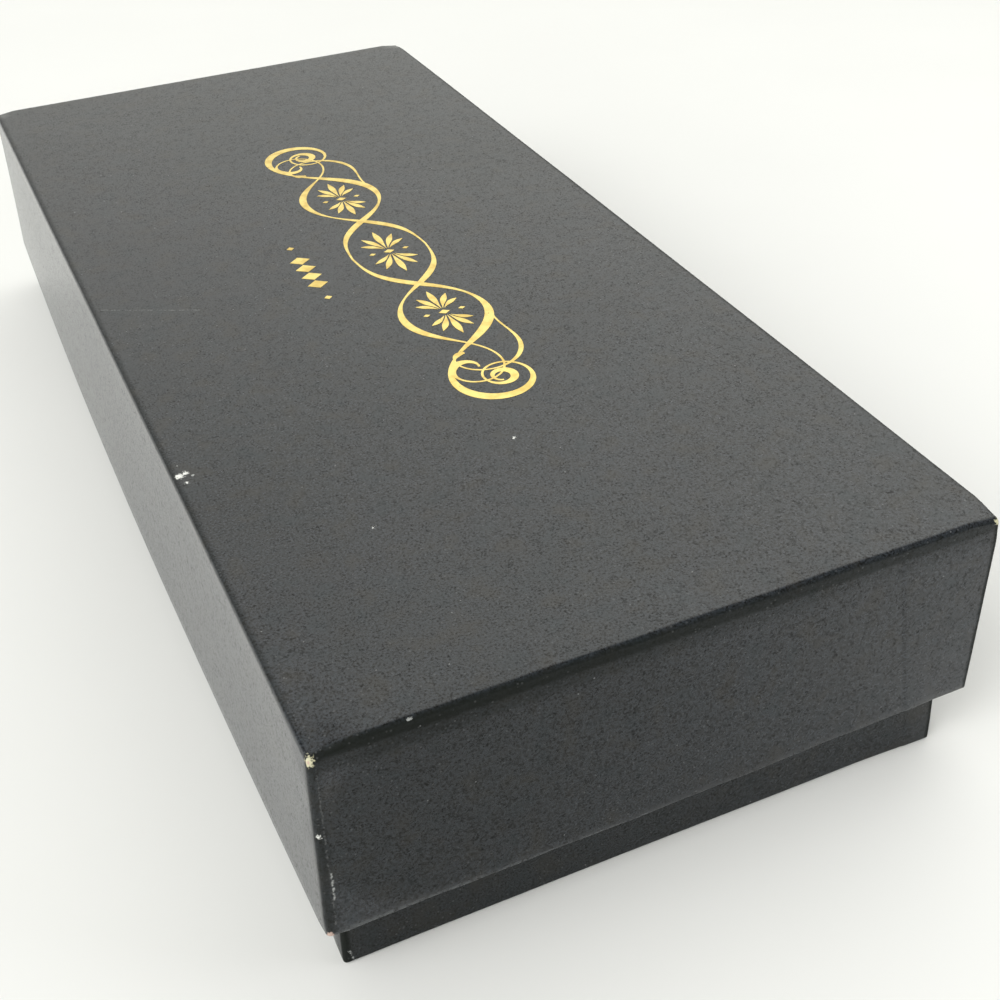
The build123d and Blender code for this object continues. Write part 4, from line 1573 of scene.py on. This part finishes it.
@dataclass(frozen=True)
class Studio:
    """A pale table, a surround that is bright behind the case and dim behind the viewer, and two lamps."""

    level: float = 0.70
    upwards: float = 0.30
    above_horizon: float = 0.14
    horizon: tuple[float, float] = (0.3, 0.45)
    to_upper_right: float = 3.0
    least_behind: float = 0.1
    leftwards: float = 2.75
    left_side: tuple[float, float] = (-0.1, -0.5)
    dim: float = 0.12
    dim_until: float = -0.3
    level_from: float = 0.5
    mirrored: float = 0.3
    seen: float = 0.87
    tint: Colour = (1.0, 0.998, 0.935)
    table_reach: float = 3000.0
    lamps: tuple[AreaLamp, ...] = (
        AreaLamp("overhead_lamp", (-900.0, -300.0, 1100.0), (880.0, 880.0), 2.1),
        AreaLamp("right_front_lamp", (420.0, -330.0, 260.0), (260.0, 260.0), 2.6),
    )

    def table(self) -> Piece:
        """The tabletop, one flat grid that the case stands on."""
        places = np.linspace(-self.table_reach, self.table_reach, 3)
        x, y = np.meshgrid(places, places)
        surface = Surface()
        surface.grid(np.stack([x, y, np.zeros_like(x)], axis=-1), flip=True)
        table = surface.build("tabletop")
        table.data.materials.append(Tabletop("tabletop_matte").material())
        return table

    def world(self) -> None:
        """The surround: bright behind the case and to its left, dim behind the viewer.

        The camera and clear glass see one pale ground. A mirrored surround is never darker than a set level.
        """
        world = bpy.data.worlds.new("surround")
        world.use_nodes = True
        bpy.context.scene.world = world
        graph = Graph(world.node_tree)
        direction = graph.node("TexCoord").outputs["Generated"]
        x, y, z = (Value(graph, part) for part in graph.node("SeparateXYZ", {}, {0: direction}).outputs)
        behind_case = y.between(self.dim_until, self.level_from)
        up = z.greatest(0.0)
        back = self.level + up.between(*self.horizon) * self.above_horizon
        back = (back + (self.upwards + self.to_upper_right * x * up) * up).greatest(self.least_behind)
        left = x.between(*self.left_side) * self.leftwards
        level = self.dim + behind_case * back + (1 - behind_case) * left
        ray = graph.node("LightPath")
        kinds = ("Is Glossy Ray", "Is Camera Ray", "Is Transmission Ray")
        mirrored, camera, through = (Value(graph, ray.outputs[kind]) for kind in kinds)
        level = level.greatest(mirrored * self.mirrored)
        strength = level + camera.greatest(through) * (self.seen - level)
        light = graph.node("Background", {}, {"Color": opaque(self.tint), "Strength": strength})
        graph.node("OutputWorld", {}, {"Surface": light.outputs[0]})

    def build(self) -> None:
        """Sets up the table, the light and how colours are shown."""
        bpy.context.scene.view_settings.view_transform = "Standard"
        self.table()
        self.world()
        for lamp in self.lamps:
            lamp.build()


@dataclass(frozen=True)
class CameraRig:
    """The camera at the photograph's place, in millimetres and degrees."""

    place: Point = (-81.88, -250.86, 175.22)
    turn_right: float = 23.538
    look_down: float = 35.868
    roll: float = -2.034
    lens: float = 51.17
    sensor: float = 36.0

    def build(self) -> None:
        """Makes the camera and points it: ahead from the two angles, then rolled about that line."""
        yaw, pitch, roll = (math.radians(a) for a in (self.turn_right, self.look_down, self.roll))
        ahead = Vector((math.sin(yaw) * math.cos(pitch), math.cos(yaw) * math.cos(pitch), -math.sin(pitch)))
        level = Vector((math.cos(yaw), -math.sin(yaw), 0))
        above = level.cross(ahead)
        right = math.cos(roll) * level + math.sin(roll) * above
        up = math.cos(roll) * above - math.sin(roll) * level
        data = bpy.data.cameras.new("camera")
        data.lens, data.sensor_width = self.lens, self.sensor
        data.clip_start, data.clip_end = 0.01, 20.0
        camera = placed("camera", data)
        turned = Matrix((right, up, -ahead)).transposed().to_4x4()
        camera.matrix_world = Matrix.Translation(Vector(self.place) * MM) @ turned
        bpy.context.scene.camera = camera


# ---- The case's own marks -----------------------------------------------------------------------
LID_MARKS: Marks = {
    MarkKind.CHIP: (
        Mark((-1.1, -72.2, 46.0), 0.2),
        Mark((-30.8, -84.7, 46.0), 0.1),
        Mark((-53.8, -57.7, 45.9), 0.6),
        Mark((-52.7, -57.3, 46.0), 0.4),
        Mark((-53.1, -60.0, 46.0), 0.22),
        Mark((-54.8, -125.1, 30.2), 0.24),
    ),
    MarkKind.BOARD: (
        Mark((-54.6, -124.7, 45.1), 0.85, (-54.8, -125.1, 43.9)),
        Mark((54.6, -124.8, 45.0), 0.5),
    ),
    MarkKind.RUBBED_BOARD: (
        Mark((-54.9, -125.0, 43.9), 0.5),
        Mark((-55.3, -124.9, 10.0), 0.55),
    ),
    MarkKind.SCUFF: (
        Mark((-51.8, -58.4, 46.0), 0.2),
        Mark((-53.3, -54.6, 46.0), 0.15),
        Mark((-53.9, -125.1, 22.5), 0.1, (-54.0, -125.1, 17.0)),
        Mark((-40.8, -124.9, 45.6), 0.25),
    ),
    MarkKind.FAINT: (
        Mark((-53.8, -125.0, 44.0), 0.02, (-54.3, -125.1, 12.0)),
        Mark((5.0, 37.0, 46.0), 0.08, (27.0, 25.5, 46.0)),
        Mark((-53.0, 5.0, 46.0), 0.12, (-36.0, -4.0, 46.0)),
        Mark((-53.4, -124.9, 45.2), 0.1, (-51.6, -124.9, 45.5)),
    ),
}
BASE_MARKS: Marks = {MarkKind.SCUFF: (Mark((-52.5, -123.3, 2.6), 0.08, (-52.0, -123.3, 0.2)),)}
# Worn folds, and bands of painted shade on the front.
LID_FOLDS_AND_SHADE_BANDS = (
    # Painted shade, partly a worn fold: the front top fold, duller to the left.
    DullFoldAndShadeBand((-54.0, -125.3, 44.9), (55.0, -125.4, 44.6), (0.18, 0.55), 0.6, 1.6),
    # Painted shade: a dark band on the front wall just under the top edge.
    DullFoldAndShadeBand((-54.0, -126.2, 43.4), (55.0, -126.0, 43.6), (0.5, 0.9), 1.2, 3.4),
    # Painted shade: the front wall duller and darker towards its left.
    DullFoldAndShadeBand((-38.0, -125.4, 28.0), (55.0, -125.4, 28.0), (0.66, 1.0), 15.5, 19.0),
    DullFoldAndShadeBand((-55.0, 125.3, 45.0), (55.0, 125.3, 45.0), (0.3, 0.3), 0.5, 1.6),
    DullFoldAndShadeBand((-54.9, -125.0, 46.3), (-54.9, 125.0, 46.3), (0.55, 0.65), 0.3, 1.3),
    DullFoldAndShadeBand((55.2, -125.0, 46.0), (55.2, 125.0, 46.0), (0.5, 0.5), 0.3, 1.2),
    # Painted shade, partly a worn fold: the front left corner.
    DullFoldAndShadeBand((-54.8, -125.3, 45.8), (-55.4, -125.4, 10.0), (0.55, 0.35), 0.1, 2.2),
    DullFoldAndShadeBand((55.1, -125.1, 45.8), (55.1, -125.2, 10.0), (0.3, 0.3), 0.5, 1.2),
)
# Worn folds, and a band of painted shade low on the front.
BASE_FOLDS_AND_SHADE_BAND = (
    # Painted shade: the base's front darker near its foot, under the lid's rim.
    DullFoldAndShadeBand((-49.0, -123.5, 3.0), (50.0, -123.5, 3.0), (0.5, 0.7), 5.0, 8.0),
    DullFoldAndShadeBand((-53.0, -123.3, 44.0), (-53.2, -123.4, 0.2), (0.25, 0.25), 0.5, 1.3),
    DullFoldAndShadeBand((50.3, -123.2, 44.0), (50.6, -123.5, 0.2), (0.3, 0.3), 0.5, 1.3),
)


def main() -> None:
    """Builds the studio and the case, sub-assembly by sub-assembly."""
    logging.basicConfig(level=logging.INFO, format="%(name)s: %(message)s")
    CameraRig().build()
    Studio().build()
    board = PlainSheet("grey_board", (0.56, 0.52, 0.45), (0.44, 0.41, 0.36), tooth=0.5, depth=0.05)
    tape = PlainSheet("gummed_tape", (0.62, 0.50, 0.34), (0.52, 0.41, 0.27), depth=0.02, roughness=0.55)
    lining = PlainSheet("lining_paper", (0.034, 0.034, 0.036), (0.018, 0.018, 0.019), roughness=0.7)
    lid = Lid()
    lid_paper = CoveringPaper("covering_paper_lid", LID_MARKS, LID_FOLDS_AND_SHADE_BANDS, rubbed_and_highlight_below=lid.rim)
    lid.build(lid_paper, board, tape, lining)
    Base().build(CoveringPaper("covering_paper_base", BASE_MARKS, BASE_FOLDS_AND_SHADE_BAND), board, tape, lining)
    FoilOrnament().build(GoldFoil("gold_foil"), lid.settling(), lid.top)
    Insert().build(CellFoam("cell_foam"), Flock("flock"))
    Tools().build()


if __name__ == "__main__":
    main()
